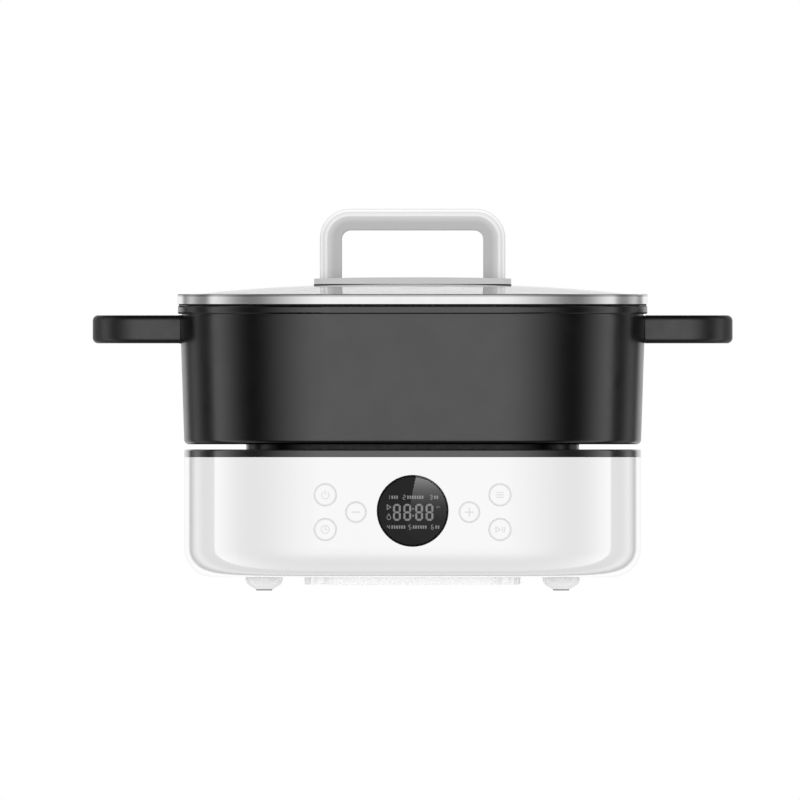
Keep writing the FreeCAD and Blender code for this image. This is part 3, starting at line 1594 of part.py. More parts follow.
def dome_level(x, y):
    """Height of the glass's upper face over a point. It falls away like a flat-topped cushion."""
    across = x / (half_width + S.dome_margin).value
    along = y / (half_depth + S.dome_margin).value
    reach = (across**4 + along**4 + S.dome_blend.value * across**2 * along**2) ** 0.25
    return dome_top.value - S.dome_drop.value * reach ** S.dome_power.value


def dome_face():
    """The glass's upper face, drawn a little larger than the lid."""
    spans = 24
    margin = 2 * rim_grow.value
    shares = [2 * step / spans - 1 for step in range(spans + 1)]
    across = [(half_width.value + margin) * share for share in shares]
    along = [(half_depth.value + margin) * share for share in shares]
    grid = [[V(x, y, dome_level(x, y)) for y in along] for x in across]
    surface = Part.BSplineSurface()
    surface.interpolate(grid)
    return surface.toShape()


DOME = dome_face()


def dome_layer(label, low, high):
    """The space between two heights above the glass's upper face."""
    low, high = as_size(low).value, as_size(high).value
    return shaped(label, DOME.translated(V(0, 0, low)).extrude(V(0, 0, high - low)), is_node=False)


def prism(label, low, high, draw, *amounts):
    """A straight piece that a dome layer trims."""
    body = new_body(label, is_node=False)
    pad_between(body, "outline", low, high, draw, *amounts)
    return body


def lid_glass():
    """Domed tempered glass with two holes for the handle's screws and one for the vent."""
    outline = new_body("lid_glass_outline", is_node=False)
    low, high = rim_bottom - FAR, dome_top + FAR
    pad_between(outline, "edge", low, high, draw_outline, rim_grow - S.glass_inset)
    holes = new_sketch(outline, "glass_holes", "XY_Plane", high)
    for side in (-1, 1):
        draw_circle(holes, side * leg_x, 0, S.screw_radius + 2 * S.fit_gap)
    draw_circle(holes, 0, S.vent_y, S.vent_hole)
    pocket(holes, high - low)
    layer = dome_layer("lid_glass_dome", -S.glass_thickness, 0)
    return joined("Part::Common", "lid_glass", Base=outline, Tool=layer)


def lid_gasket():
    """Seal under the edge of the glass, inside the rim's channel."""
    low = rim_bottom + S.rim_steel
    outer = rim_grow - S.rim_steel - S.gasket_edge_gap
    edges = (outer, outer - S.gasket_width)
    band = prism("lid_gasket_band", low, dome_top, draw_frame, *edges)
    above = dome_layer("lid_gasket_trim", -S.glass_thickness, FAR)
    return joined("Part::Cut", "lid_gasket", Base=band, Tool=above)


def lid_vent():
    """Steel grommet of the steam vent, riveted into the glass behind the handle."""
    body = new_body("lid_vent")
    outside = S.vent_hole - S.vent_fit
    flange = S.vent_hole + S.vent_flange
    above = dome_level(0, (S.vent_y - flange).value)
    below = dome_level(0, (S.vent_y + flange).value) - S.glass_thickness
    profile = [
        (S.vent_bore, above + S.vent_flange_height),
        (flange, above + S.vent_flange_height),
        (flange, above),
        (outside, above),
        (outside, below),
        (flange, below),
        (flange, below - S.vent_flange_height),
        (S.vent_bore, below - S.vent_flange_height),
    ]
    turned(body, "profile", profile)
    place(body, 0, S.vent_y, 0)
    return body


def lid_handle_plate():
    """Plate that spreads the handle's load over the glass and follows its curve."""
    body = new_body("lid_handle_plate_outline", is_node=False)
    low, high = dome_top - FAR, dome_top + FAR
    size = (S.knob_plate_length, S.knob_plate_width, S.knob_plate_corner)
    pad_between(body, "outline", low, high, draw_box, Size(0), Size(0), *size)
    holes = new_sketch(body, "plate_holes", "XY_Plane", high)
    for side in (-1, 1):
        draw_circle(holes, side * leg_x, 0, S.screw_radius + S.fit_gap)
    pocket(holes, high - low)
    layer = dome_layer("lid_handle_plate_dome", 0, S.knob_plate_thickness)
    return joined("Part::Common", "lid_handle_plate", Base=body, Tool=layer)


def in_gap(edge, half, roof):
    """Whether an edge lies within the handle's gap: between its legs and no higher than its roof."""
    box, slack = edge.BoundBox, 0.01
    return max(-box.XMin, box.XMax) < half.value + slack and box.ZMax < roof.value + slack


def lid_handle():
    """Bridge handle: two legs and a bar in one piece, standing on the plate."""
    body = new_body("lid_handle_bridge", is_node=False)
    top = dome_top + S.knob_height
    roof = top - S.knob_bar
    buried = dome_top - S.knob_height - FAR
    front = S.knob_depth / 2
    half, inner_half = S.knob_span / 2, S.knob_span / 2 - S.knob_leg
    outline = new_sketch(body, "bridge_outline", "XZ_Plane", front)
    draw_rounded(outline, -half, buried, half, top, S.knob_corner)
    pad(outline, S.knob_depth, reverse=True)
    gap = new_sketch(body, "bridge_gap", "XZ_Plane", -front)
    draw_rounded(gap, -inner_half, buried - FAR, inner_half, roof, S.knob_inner_corner)
    bridge = pocket(gap, S.knob_depth, reverse=True)
    broad = lambda edge: flat_at(edge, front, "Y") or flat_at(edge, -front, "Y")
    inner = lambda edge: in_gap(edge, inner_half, roof)
    shown = lambda edge: broad(edge) and not flat_at(edge, buried)
    outside = round_edges(bridge, S.knob_edge, lambda edge: shown(edge) and not inner(edge))
    round_edges(outside, S.knob_inner_edge, lambda edge: shown(edge) and inner(edge))
    bores = new_sketch(body, "bridge_bores", "XY_Plane", roof)
    for side in (-1, 1):
        draw_circle(bores, side * leg_x, 0, tap_radius)
    pocket(bores, roof - buried)
    ground = dome_layer("lid_handle_ground", buried - dome_top - FAR, S.knob_plate_thickness)
    return joined("Part::Cut", "lid_handle", Base=body, Tool=ground)


def lid_washers():
    """Two soft seals between the screws' heads and the glass."""
    low, high = dome_top - FAR, dome_top
    body = new_body("lid_washer_discs", is_node=False)
    sketch = new_sketch(body, "washer_discs", "XY_Plane", low)
    for side in (-1, 1):
        draw_circle(sketch, side * leg_x, 0, S.washer_radius)
        draw_circle(sketch, side * leg_x, 0, S.screw_radius + S.fit_gap)
    pad(sketch, high - low)
    layer = dome_layer("lid_washer_dome", -S.glass_thickness - S.washer_thickness, -S.glass_thickness)
    return joined("Part::Common", "lid_washers", Base=body, Tool=layer)


def lid_handle_screws():
    """Two long screws from under the glass up into the handle's legs."""
    edge_x = leg_x.value + S.screw_head.value
    level = dome_level(edge_x, 0) - S.glass_thickness - S.washer_thickness
    spots = [(side * leg_x, Size(0), level) for side in (-1, 1)]
    return screws("lid_handle_screws", S.knob_screw, spots)


# ------------------------------------------------------------------------------------------------- assembly


def build():
    base_housing()
    bottom_cover()
    top_cover()
    for name, (side_x, side_y) in CORNERS.items():
        foot(name, side_x, side_y)
    foot_pads()
    case_screws()
    display_lens()
    for label, (x, z, radius) in KEYS.items():
        key(label, x, z, radius)
    key_switches()
    display_board()
    display_module()
    display_screws()
    heating_plate()
    heating_element()
    heat_shield()
    heater_standoffs()
    heater_screws()
    thermal_fuse()
    fuse_clip()
    sensor_guide()
    sensor_cap()
    thermistor()
    sensor_spring()
    power_board()
    board_screws()
    transformer()
    relay()
    capacitor()
    terminal_block()
    power_inlet()
    inlet_pins()
    inlet_screws()
    mains_wires()
    earth_wire()
    heater_wires()
    sensor_wire()
    display_cable()
    pot()
    right = pot_handle()
    joined("Part::Mirroring", "pot_handle_left", Source=right, Normal=V(1, 0, 0))
    pot_handle_screws()
    lid_rim()
    lid_glass()
    lid_gasket()
    lid_vent()
    lid_handle_plate()
    lid_handle()
    lid_washers()
    lid_handle_screws()
    doc.recompute()


def check():
    """Stops on a failed object, on a cut that removes nothing and on a piece that isn't a sound solid."""
    for thing in doc.Objects:
        if {"Invalid", "Error"} & set(thing.State):
            raise RuntimeError(f"{thing.Name} failed: {thing.State}")
        if thing.TypeId in ("PartDesign::Pocket", "PartDesign::Groove"):
            if thing.BaseFeature.Shape.Volume - thing.Shape.Volume < 1e-3:
                raise RuntimeError(f"{thing.Name} cuts nothing")
    for label, thing in nodes.items():
        if thing.Shape.isNull() or not thing.Shape.isValid() or not thing.Shape.Solids:
            raise RuntimeError(f"{label} is not a sound solid")


def write():
    os.makedirs("parts", exist_ok=True)
    for label, thing in nodes.items():
        thing.Shape.exportStep(f"parts/{label}.step")
    print(f"{len(nodes)} pieces written")


build()
check()
write()
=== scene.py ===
# %% [markdown]
# # Electric hot pot with a lift-off glass lid
# A heated base carries a cast pot, and the pot carries a domed glass lid with a bridge handle. The solid
# parts come from a CAD model that is loaded here as a fixed frame, so this lesson is about what CAD leaves
# out: surfaces, printed marks, a lit display, and light that shows all of them.
#
# Everything is in metres. Sizes below are written in millimetres and multiplied by MM where they are used.

# %% Load the frame
import json
import math
from types import SimpleNamespace

import bpy
import bmesh
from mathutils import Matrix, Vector

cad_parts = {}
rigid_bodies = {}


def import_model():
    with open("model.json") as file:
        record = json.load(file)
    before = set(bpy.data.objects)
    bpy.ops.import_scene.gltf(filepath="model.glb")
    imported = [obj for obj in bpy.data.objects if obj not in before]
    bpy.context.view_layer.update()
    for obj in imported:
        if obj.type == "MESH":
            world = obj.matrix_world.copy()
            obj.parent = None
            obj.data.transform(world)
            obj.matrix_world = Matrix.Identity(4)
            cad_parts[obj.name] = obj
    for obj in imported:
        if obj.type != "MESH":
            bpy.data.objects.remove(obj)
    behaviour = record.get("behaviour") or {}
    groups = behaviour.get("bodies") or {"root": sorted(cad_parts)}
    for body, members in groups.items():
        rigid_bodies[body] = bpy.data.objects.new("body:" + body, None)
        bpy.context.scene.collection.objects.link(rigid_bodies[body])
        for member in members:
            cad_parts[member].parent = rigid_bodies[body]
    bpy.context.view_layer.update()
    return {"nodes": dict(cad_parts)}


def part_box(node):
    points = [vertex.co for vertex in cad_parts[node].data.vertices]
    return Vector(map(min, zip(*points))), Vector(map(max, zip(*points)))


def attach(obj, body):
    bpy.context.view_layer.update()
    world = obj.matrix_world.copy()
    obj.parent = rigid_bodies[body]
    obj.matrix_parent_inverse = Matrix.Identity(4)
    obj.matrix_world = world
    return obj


MM = 0.001

for leftover in list(bpy.data.objects):
    bpy.data.objects.remove(leftover)

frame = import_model()
nodes = frame["nodes"]

# %% [markdown]
# ## Camera
# The flat front of the base shows one even tone from side to side, which only happens when all lines of
# sight are parallel. An orthographic camera gives that view: its `ortho_scale` is the width of the picture
# in metres, and its distance doesn't matter. It looks level at the front, a little to the left of the
# middle.

# %% Camera
VIEW_WIDTH = 0.4936
VIEW_PLACE = (-0.0078, -2.0, 0.1176)

view = bpy.data.cameras.new("front_view")
view.type = "ORTHO"
view.ortho_scale = VIEW_WIDTH
camera = bpy.data.objects.new("front_view", view)
camera.location = VIEW_PLACE
camera.rotation_euler = (math.pi / 2, 0, 0)
bpy.context.collection.objects.link(camera)
bpy.context.scene.camera = camera
bpy.context.scene.view_settings.view_transform = "Standard"
print("camera sees", VIEW_WIDTH / MM, "mm across")

# %% [markdown]
# ## Helpers for node trees
# A material is a small graph of nodes. One helper turns the usual `#RRGGBB` colour into the linear numbers
# that a renderer adds and multiplies. One adds a node of any kind with its settings and its links, so that
# the cells below read as lists of decisions. The last fills a colour ramp from a list.


# %% Helpers for nodes
def linear(code):
    """The linear colour of an sRGB hex code."""
    levels = [int(code[i : i + 2], 16) / 255 for i in (1, 3, 5)]
    return tuple(v / 12.92 if v <= 0.04045 else ((v + 0.055) / 1.055) ** 2.4 for v in levels) + (1.0,)


def add(tree, kind, settings=None, links=None):
    """Adds one node. settings: its properties and socket values. links: the outputs that feed its sockets."""
    node = tree.nodes.new(kind)
    for key, value in (settings or {}).items():
        if isinstance(key, str) and hasattr(node, key):
            setattr(node, key, value)
        else:
            node.inputs[key].default_value = value
    for key, source in (links or {}).items():
        tree.links.new(source, node.inputs[key])
    return node


def set_stops(ramp, stops):
    """Gives a colour ramp these (place, grey level) stops."""
    elements = ramp.color_ramp.elements
    while len(elements) > 1:
        elements.remove(elements[-1])
    elements[0].position = stops[0][0]
    elements[0].color = (stops[0][1],) * 3 + (1.0,)
    for place, level in stops[1:]:
        elements.new(place).color = (level,) * 3 + (1.0,)


print("#808080 is", [round(v, 3) for v in linear("#808080")[:3]])

# %% [markdown]
# ## The room
# Glossy black and white things look like what they mirror, so the room is laid out as a product studio is:
# white behind the camera, a black flag at each side of it, a bright wall at the sides, a grey wall behind
# that, and a white backdrop. The walls depend only on the angle between a direction and the line towards
# the camera's side of the room, so one colour ramp along Y draws them. A second ramp along Z dims the
# ceiling and the ground. Light Path picks what each kind of ray sees: mirrors see the ramps, matt surfaces
# a nearly even fill, and the camera and glass a white backdrop.

# %% Plan of the room
# How bright the room is for matt surfaces: more behind the object than in front, and a little more from
# above.
FRONT_FILL, BACK_FILL = 1.0, 1.15
TOP_FILL = 0.06
# Angle in degrees from the front of the room, and how bright the room is there for mirrors.
ROOM = [
    (0, 0.98), (6, 0.93), (12, 0.82), (22, 0.66), (28, 0.54), (35, 0.40), (43, 0.24), (50, 0.10),
    (57, 0.035), (65, 0.035), (72, 0.15), (78, 0.30), (85, 0.54), (92, 0.76), (98, 0.92), (102, 0.98),
    (104, 0.05), (114, 0.07), (120, 0.18), (127, 0.48), (131, 0.58), (136, 0.38), (142, 0.08), (146, 0.10),
    (150, 0.80), (155, 1.0), (166, 0.95), (180, 0.90),
]
# Height of a direction, from straight down to straight up, and what share of that brightness is left there.
CEILING = [
    (-1.0, 0.25), (-0.95, 0.27), (-0.85, 0.55), (-0.6, 0.95), (-0.45, 1.08), (-0.3, 1.05), (-0.15, 1.0),
    (0.3, 1.0), (0.6, 0.6), (0.8, 0.15), (1.0, 0.05),
]
print("room has", len(ROOM), "steps along the walls and", len(CEILING), "from ground to ceiling")

# %% World
# A direction's X, Y and Z each run over this range.
FULL_RANGE = {"From Min": -1.0, "From Max": 1.0}

world = bpy.data.worlds.new("studio")
world.use_nodes = True
bpy.context.scene.world = world
room = world.node_tree
room.nodes.clear()
direction = add(room, "ShaderNodeTexCoord").outputs["Generated"]
axes = add(room, "ShaderNodeSeparateXYZ", links={0: direction})
depth = add(room, "ShaderNodeMapRange", FULL_RANGE, {"Value": axes.outputs["Y"]})
walls = add(room, "ShaderNodeValToRGB", links={"Fac": depth.outputs["Result"]})
set_stops(walls, [((1 - math.cos(math.radians(angle))) / 2, level) for angle, level in ROOM])

ray = add(room, "ShaderNodeLightPath")
height = add(room, "ShaderNodeMapRange", FULL_RANGE, {"Value": axes.outputs["Z"]})
up_and_down = add(room, "ShaderNodeValToRGB", links={"Fac": height.outputs["Result"]})
set_stops(up_and_down, [((1 + level) / 2, share) for level, share in CEILING])
level_fill = add(
    room, "ShaderNodeMapRange", {**FULL_RANGE, "To Min": FRONT_FILL, "To Max": BACK_FILL},
    {"Value": axes.outputs["Y"]},
)
full_fill = add(
    room, "ShaderNodeMath", {"operation": "MULTIPLY_ADD", 1: TOP_FILL},
    {0: axes.outputs["Z"], 2: level_fill.outputs["Result"]},
)
fill = add(room, "ShaderNodeBackground", {"Color": (1, 1, 1, 1)}, {"Strength": full_fill.outputs[0]})
mirrored = add(
    room, "ShaderNodeBackground",
    links={"Color": walls.outputs["Color"], "Strength": up_and_down.outputs["Color"]},
)
backdrop = add(room, "ShaderNodeBackground", {"Color": (1, 1, 1, 1), "Strength": 1.0})
for_mirrors = add(
    room, "ShaderNodeMixShader",
    links={0: ray.outputs["Is Glossy Ray"], 1: fill.outputs[0], 2: mirrored.outputs[0]},
)
seen = add(
    room, "ShaderNodeMath", {"operation": "MAXIMUM"},
    {0: ray.outputs["Is Camera Ray"], 1: ray.outputs["Is Transmission Ray"]},
)
all_rays = add(
    room, "ShaderNodeMixShader",
    links={0: seen.outputs[0], 1: for_mirrors.outputs[0], 2: backdrop.outputs[0]},
)
add(room, "ShaderNodeOutputWorld", links={"Surface": all_rays.outputs[0]})
# Each kind of ray sees another room, so the room is only met by bounced rays and isn't sampled as a lamp.
world.cycles.sampling_method = "NONE"
print("room has", len(room.nodes), "nodes")

# %% [markdown]
# ## What every finish is made of
# A finish starts as one Principled shader with plain numbers. Real surfaces are never the same all over, so
# most of them also get a slight drift in colour, an uneven gloss and a fine grain. Each of these is a noise
# whose size is given in millimetres, and the object's own coordinates keep it in place when a piece moves.
# Real grain is often finer than a pixel. Where it is, it is drawn as coarse as it needs to be to show.


# %% Helpers for finishes
def empty_material(name):
    """A new material whose node tree is still empty, and that tree."""
    material = bpy.data.materials.new(name)
    material.use_nodes = True
    material.node_tree.nodes.clear()
    return material, material.node_tree


def look(name, colour, roughness, **sockets):
    """A new material with one Principled shader. Its constants stay on the shader's own sockets."""
    material, tree = empty_material(name)
    values = {"Base Color": linear(colour), "Roughness": roughness}
    values.update({key.replace("_", " "): value for key, value in sockets.items()})
    shader = add(tree, "ShaderNodeBsdfPrincipled", values)
    add(tree, "ShaderNodeOutputMaterial", links={"Surface": shader.outputs[0]})
    place = add(tree, "ShaderNodeTexCoord").outputs["Object"]
    return SimpleNamespace(material=material, tree=tree, shader=shader, place=place)


def per(size):
    """The texture scale at which a pattern repeats about every `size` millimetres."""
    return 1 / (size * MM)


def drift(finish, first, second, size):
    """The colour wanders between two values over patches of `size` millimetres."""
    patches = add(
        finish.tree, "ShaderNodeTexNoise", {"Scale": per(size), "Detail": 3.0}, {"Vector": finish.place}
    )
    mix = add(
        finish.tree, "ShaderNodeMix",
        {"data_type": "RGBA", 6: linear(first), 7: linear(second)}, {0: patches.outputs["Fac"]},
    )
    finish.tree.links.new(mix.outputs[2], finish.shader.inputs["Base Color"])


# Nearly all of Blender's noise lies between these values.
NOISE_LOW, NOISE_HIGH = 0.3, 0.7


def uneven(finish, low, high, size):
    """The roughness wanders between two values over patches of `size` millimetres."""
    patches = add(
        finish.tree, "ShaderNodeTexNoise", {"Scale": per(size), "Detail": 4.0}, {"Vector": finish.place}
    )
    level = add(
        finish.tree, "ShaderNodeMapRange",
        {"From Min": NOISE_LOW, "From Max": NOISE_HIGH, "To Min": low, "To Max": high},
        {"Value": patches.outputs["Fac"]},
    )
    finish.tree.links.new(level.outputs["Result"], finish.shader.inputs["Roughness"])


def raised(finish, height_source, height):
    """A bump of `height` millimetres that follows a pattern, on top of the bumps that are there already."""
    links = {"Height": height_source}
    if finish.shader.inputs["Normal"].links:
        links["Normal"] = finish.shader.inputs["Normal"].links[0].from_socket
    bump = add(finish.tree, "ShaderNodeBump", {"Distance": height * MM, "Strength": 1.0}, links)
    finish.tree.links.new(bump.outputs["Normal"], finish.shader.inputs["Normal"])


def grain(finish, size, height):
    """Fine texture: grains of `size` and `height` millimetres."""
    grains = add(
        finish.tree, "ShaderNodeTexNoise", {"Scale": per(size), "Detail": 2.0}, {"Vector": finish.place}
    )
    raised(finish, grains.outputs["Fac"], height)


print("a pattern of 5 mm has scale", per(5))

# %% [markdown]
# ## Floor and lamp
# The floor is a large pale matt sheet. The camera sees it edge-on, so it only shows from other sides, where
# it carries the soft shadow that tells the eye the pot stands on something. It stays out of mirrors and of
# bounced light, so that undersides get the same even light as the rest. One large square lamp above keeps
# that shadow soft.


# %% Floor and lamp
def flat_card(name, corners, material):
    """A flat piece of one face for the stage, with its corners in metres."""
    mesh = bpy.data.meshes.new(name)
    mesh.from_pydata(corners, [], [range(len(corners))])
    mesh.materials.append(material)
    card = bpy.data.objects.new(name, mesh)
    bpy.context.collection.objects.link(card)
    return card


SQUARE = ((-1, -1), (1, -1), (1, 1), (-1, 1))
FLOOR_HALF = 3.0
paper = look("matt_paper_floor", "#F4F4F4", 0.9, Specular_IOR_Level=0.1)
drift(paper, "#F3F3F3", "#F6F6F6", 400)
floor = flat_card("floor", [(x * FLOOR_HALF, y * FLOOR_HALF, 0) for x, y in SQUARE], paper.material)
floor.visible_glossy = False
floor.visible_diffuse = False

LAMP_PLACE = (0.0, 0.5, 2.0)
LAMP_AIM = (0.0, 0.0, 0.1)
LAMP_SIDE = 1.6
LAMP_WATTS = 5.0
lamp = bpy.data.lights.new("softbox", "AREA")
lamp.size = LAMP_SIDE
lamp.energy = LAMP_WATTS
softbox = bpy.data.objects.new("softbox", lamp)
softbox.location = LAMP_PLACE
softbox.rotation_euler = (Vector(LAMP_AIM) - Vector(LAMP_PLACE)).to_track_quat("-Z", "Y").to_euler()
softbox.visible_glossy = False
bpy.context.collection.objects.link(softbox)
print("lamp of", LAMP_SIDE, "m at", LAMP_PLACE)

# %% [markdown]
# ## White shell: gloss ABS
# The base is injection-moulded ABS from a mirror-polished mould. The eye reads that from crisp reflections,
# with the grey wall of the room cut off by a sharp line near each corner. The sheen is stronger than bare
# ABS gives, as a lacquered part's is, so a clear coat lies over it. Moulded walls are never quite flat, and
# a very shallow wave of about 9 mm keeps long reflections from looking computed.

# %% White plastics
finishes = {}

shell = look(
    "gloss_white_abs", "#F4F4F4", 0.04, IOR=1.6, Specular_IOR_Level=1.0,
    Coat_Weight=1.0, Coat_Roughness=0.02, Coat_IOR=1.7,
)
drift(shell, "#F3F3F3", "#F5F5F5", 60)
uneven(shell, 0.03, 0.06, 25)
grain(shell, 9, 0.0015)
finishes["white_housing"] = shell.material

# The keys are the same plastic with a fine spark-eroded face, which feels dry under a finger.
caps = look(
    "satin_white_abs_keys", "#F5F5F5", 0.2, IOR=1.6, Coat_Weight=0.6, Coat_Roughness=0.12, Coat_IOR=1.6
)
drift(caps, "#F4F4F4", "#F7F7F7", 12)
uneven(caps, 0.16, 0.24, 3)
grain(caps, 0.5, 0.0008)
finishes["white_keys"] = caps.material

# The feet are moulded in polypropylene, which has a waxy and slightly cloudy surface.
feet = look("white_polypropylene_feet", "#F4F4F4", 0.2, IOR=1.5, Coat_Weight=0.6, Coat_Roughness=0.08)
drift(feet, "#F2F2F2", "#F6F6F6", 8)
uneven(feet, 0.16, 0.25, 4)
grain(feet, 1.2, 0.001)
finishes["white_feet"] = feet.material
print("white plastics:", list(finishes))

# %% [markdown]
# ## Black deck: gloss ABS, black
# The deck under the pot is the same kind of plastic in black. Nothing comes out of black plastic, so all
# that shows is the room in it. A second, stronger skin of lacquer takes its reflection to about a tenth of
# the light.

# %% Black plastics
deck = look("gloss_black_abs", "#191919", 0.2, IOR=1.6, Coat_Weight=1.0, Coat_Roughness=0.14, Coat_IOR=1.75)
drift(deck, "#181818", "#1B1B1B", 40)
uneven(deck, 0.17, 0.22, 18)
grain(deck, 7, 0.0015)
finishes["black_deck"] = deck.material

# The inlet is glass-filled nylon: dull, with short pale fibres near its skin.
nylon = look("glass_filled_nylon", "#101010", 0.42, IOR=1.53)
drift(nylon, "#0D0D0D", "#181818", 1.5)
uneven(nylon, 0.35, 0.5, 2)
grain(nylon, 0.4, 0.004)
finishes["inlet_plastic"] = nylon.material
print("black plastics:", deck.material.name, nylon.material.name)

# %% [markdown]
# ## Pot: baked coat on cast aluminium
# The pot is cast aluminium, blasted and then coated with a dark non-stick lacquer that holds fine metal
# flakes. Flakes act as thousands of tiny dull mirrors, so the finish is metallic with a dark colour and a
# broad highlight, and the curved corners go from grey to nearly black and back as they turn past the black
# flags.

# %% Pot and grips
coat = look("baked_flake_coat", "#5D5D5D", 0.22, Metallic=1.0, Specular_Tint=(0.85, 0.85, 0.85, 1.0))
drift(coat, "#5A5A5A", "#606060", 35)
uneven(coat, 0.21, 0.25, 12)
grain(coat, 0.6, 0.0015)
finishes["coated_cast_pot"] = coat.material

# The grips are cast in the same metal and coated with it, with a slightly coarser blast so that they don't
# slip.
grips = look("baked_flake_coat_grips", "#636363", 0.4, Metallic=1.0, Specular_Tint=(0.85, 0.85, 0.85, 1.0))
drift(grips, "#606060", "#666666", 20)
uneven(grips, 0.37, 0.43, 8)
grain(grips, 0.5, 0.002)
finishes["black_grip"] = grips.material
print("coated castings:", coat.material.name, grips.material.name)

# %% [markdown]
# ## Lid: steel rim, tempered glass, silicone, painted handle
# The rim is rolled stainless steel, polished along its length. Polishing leaves a faint bloom, so the rim
# is not fully metallic, and hair lines that run round the lid, so the noise that makes them is squeezed
# along Z and stretched along X and Y. Real ones are a few hundredths of a millimetre apart. They are drawn
# half a millimetre apart, which is the finest that shows. The glass is tempered soda glass, which carries a
# faint wave from the furnace rollers. Its edge looks pale because light enters it there at a low angle.


# %% Rim finish
def hair_lines(finish, spacing, length, height):
    """Polishing lines that run level: `spacing` millimetres apart in height and `length` long."""
    stretch = add(
        finish.tree, "ShaderNodeVectorMath",
        {"operation": "MULTIPLY", 1: (per(length), per(length), per(spacing))}, {0: finish.place},
    )
    lines = add(
        finish.tree, "ShaderNodeTexNoise", {"Scale": 1.0, "Detail": 2.0}, {"Vector": stretch.outputs[0]}
    )
    raised(finish, lines.outputs["Fac"], height)


rim = look("polished_stainless_rim", "#F8F8F8", 0.19, Metallic=0.84)
drift(rim, "#F6F6F6", "#FAFAFA", 15)
uneven(rim, 0.17, 0.22, 6)
hair_lines(rim, 0.5, 60, 0.0006)
# A band just below the rim's top is painted darker: a painted shadow line where the sheet is rolled over the
# glass.
HEM_LOW, HEM_HIGH, HEM_SOFT = 181.7, 182.6, 0.6
HEM_SHADE_COLOUR = "#BEBEBE"
rim_axes = add(rim.tree, "ShaderNodeSeparateXYZ", links={0: rim.place})
above_low = add(
    rim.tree, "ShaderNodeMapRange", {"From Min": (HEM_LOW - HEM_SOFT) * MM, "From Max": HEM_LOW * MM},
    {"Value": rim_axes.outputs["Z"]},
)
below_high = add(
    rim.tree, "ShaderNodeMapRange", {"From Min": (HEM_HIGH + HEM_SOFT) * MM, "From Max": HEM_HIGH * MM},
    {"Value": rim_axes.outputs["Z"]},
)
# Inside this band the steel's colour is painted darker: the painted shadow line.
hem = add(
    rim.tree, "ShaderNodeMath", {"operation": "MULTIPLY"},
    {0: above_low.outputs["Result"], 1: below_high.outputs["Result"]},
)
steel_colour = rim.shader.inputs["Base Color"].links[0].from_socket
hem_shaded_steel = add(
    rim.tree, "ShaderNodeMix", {"data_type": "RGBA", 7: linear(HEM_SHADE_COLOUR)},
    {0: hem.outputs[0], 6: steel_colour},
)
rim.tree.links.new(hem_shaded_steel.outputs[2], rim.shader.inputs["Base Color"])
finishes["rim_steel"] = rim.material
print("rim finish:", rim.material.name, "with a hem line from", HEM_LOW, "to", HEM_HIGH, "mm")

# %% Glass and silicone
glass = look("tempered_glass", "#EFF1F0", 0.0, IOR=1.52, Transmission_Weight=1.0)
grain(glass, 30, 0.004)
finishes["lid_glass"] = glass.material

seal = look("clear_silicone", "#DADADA", 0.35, IOR=1.41, Transmission_Weight=0.35)
drift(seal, "#D6D6D6", "#E0E0E0", 6)
uneven(seal, 0.3, 0.45, 3)
grain(seal, 1.5, 0.003)
finishes["clear_silicone"] = seal.material
# The washers between the glass and the handle's screws are a firmer grey grade.
washers = look("grey_silicone_washers", "#5A5A5A", 0.6, IOR=1.41)
drift(washers, "#555555", "#5F5F5F", 4)
uneven(washers, 0.42, 0.58, 2)
grain(washers, 1.0, 0.003)
print("lid finishes:", glass.material.name, seal.material.name, washers.material.name)

# %% [markdown]
# ## Handle: grey plastic with painted edge light
# The bridge handle is grey plastic. Its colour is a ramp over the distance to its outline: the face keeps
# the plastic's own grey, and nearer the outline come bands of painted highlight on the rounded edge, a
# painted darker dip between them, and painted shade at the very outline. The outline is a rounded
# rectangle, whose distance is a few steps of vector maths. It belongs to the shape, so it stays put from
# every side.

# %% Bow finish
# Half the bow's width, its top above the ground, the radius of its corners, and the width of the band
# inside its outline in which the colour changes.
BOW_HALF, BOW_TOP, BOW_CORNER = 57.25, 235.6, 18.5
BOW_BAND = 14.0
# Distance inside the outline in mm, and how pale the colour is there: the plastic's grey at the face, and
# painted highlight and painted shade along the rounded edge.
EDGE_LIGHT_STEPS = [
    (14.0, 0.50), (8.6, 0.50), (7.4, 0.56), (6.2, 0.61), (5.0, 0.66), (4.6, 0.74), (4.2, 0.90),
    (3.6, 0.93), (3.1, 0.82), (1.9, 0.80), (1.4, 0.96), (0.9, 0.96), (0.4, 0.80), (0.0, 0.72),
]

bow = look("grey_handle_painted_edge", "#CFCFCF", 0.3, IOR=1.5, Coat_Weight=0.3, Coat_Roughness=0.15)
mirrored_place = add(bow.tree, "ShaderNodeVectorMath", {"operation": "ABSOLUTE"}, {0: bow.place})
flat_place = add(
    bow.tree, "ShaderNodeVectorMath", {"operation": "MULTIPLY", 1: (1.0, 0.0, 1.0)},
    {0: mirrored_place.outputs[0]},
)
arc_middle = ((BOW_HALF - BOW_CORNER) * MM, 0.0, (BOW_TOP - BOW_CORNER) * MM)
beyond = add(
    bow.tree, "ShaderNodeVectorMath", {"operation": "SUBTRACT", 1: arc_middle}, {0: flat_place.outputs[0]}
)
round_part = add(
    bow.tree, "ShaderNodeVectorMath", {"operation": "MAXIMUM", 1: (0.0, 0.0, 0.0)}, {0: beyond.outputs[0]}
)
radius = add(bow.tree, "ShaderNodeVectorMath", {"operation": "LENGTH"}, {0: round_part.outputs[0]})
sides = add(bow.tree, "ShaderNodeSeparateXYZ", links={0: beyond.outputs[0]})
nearest = add(
    bow.tree, "ShaderNodeMath", {"operation": "MAXIMUM"}, {0: sides.outputs["X"], 1: sides.outputs["Z"]}
)
straight_part = add(bow.tree, "ShaderNodeMath", {"operation": "MINIMUM", 1: 0.0}, {0: nearest.outputs[0]})
from_arc = add(
    bow.tree, "ShaderNodeMath", {"operation": "ADD"},
    {0: radius.outputs["Value"], 1: straight_part.outputs[0]},
)
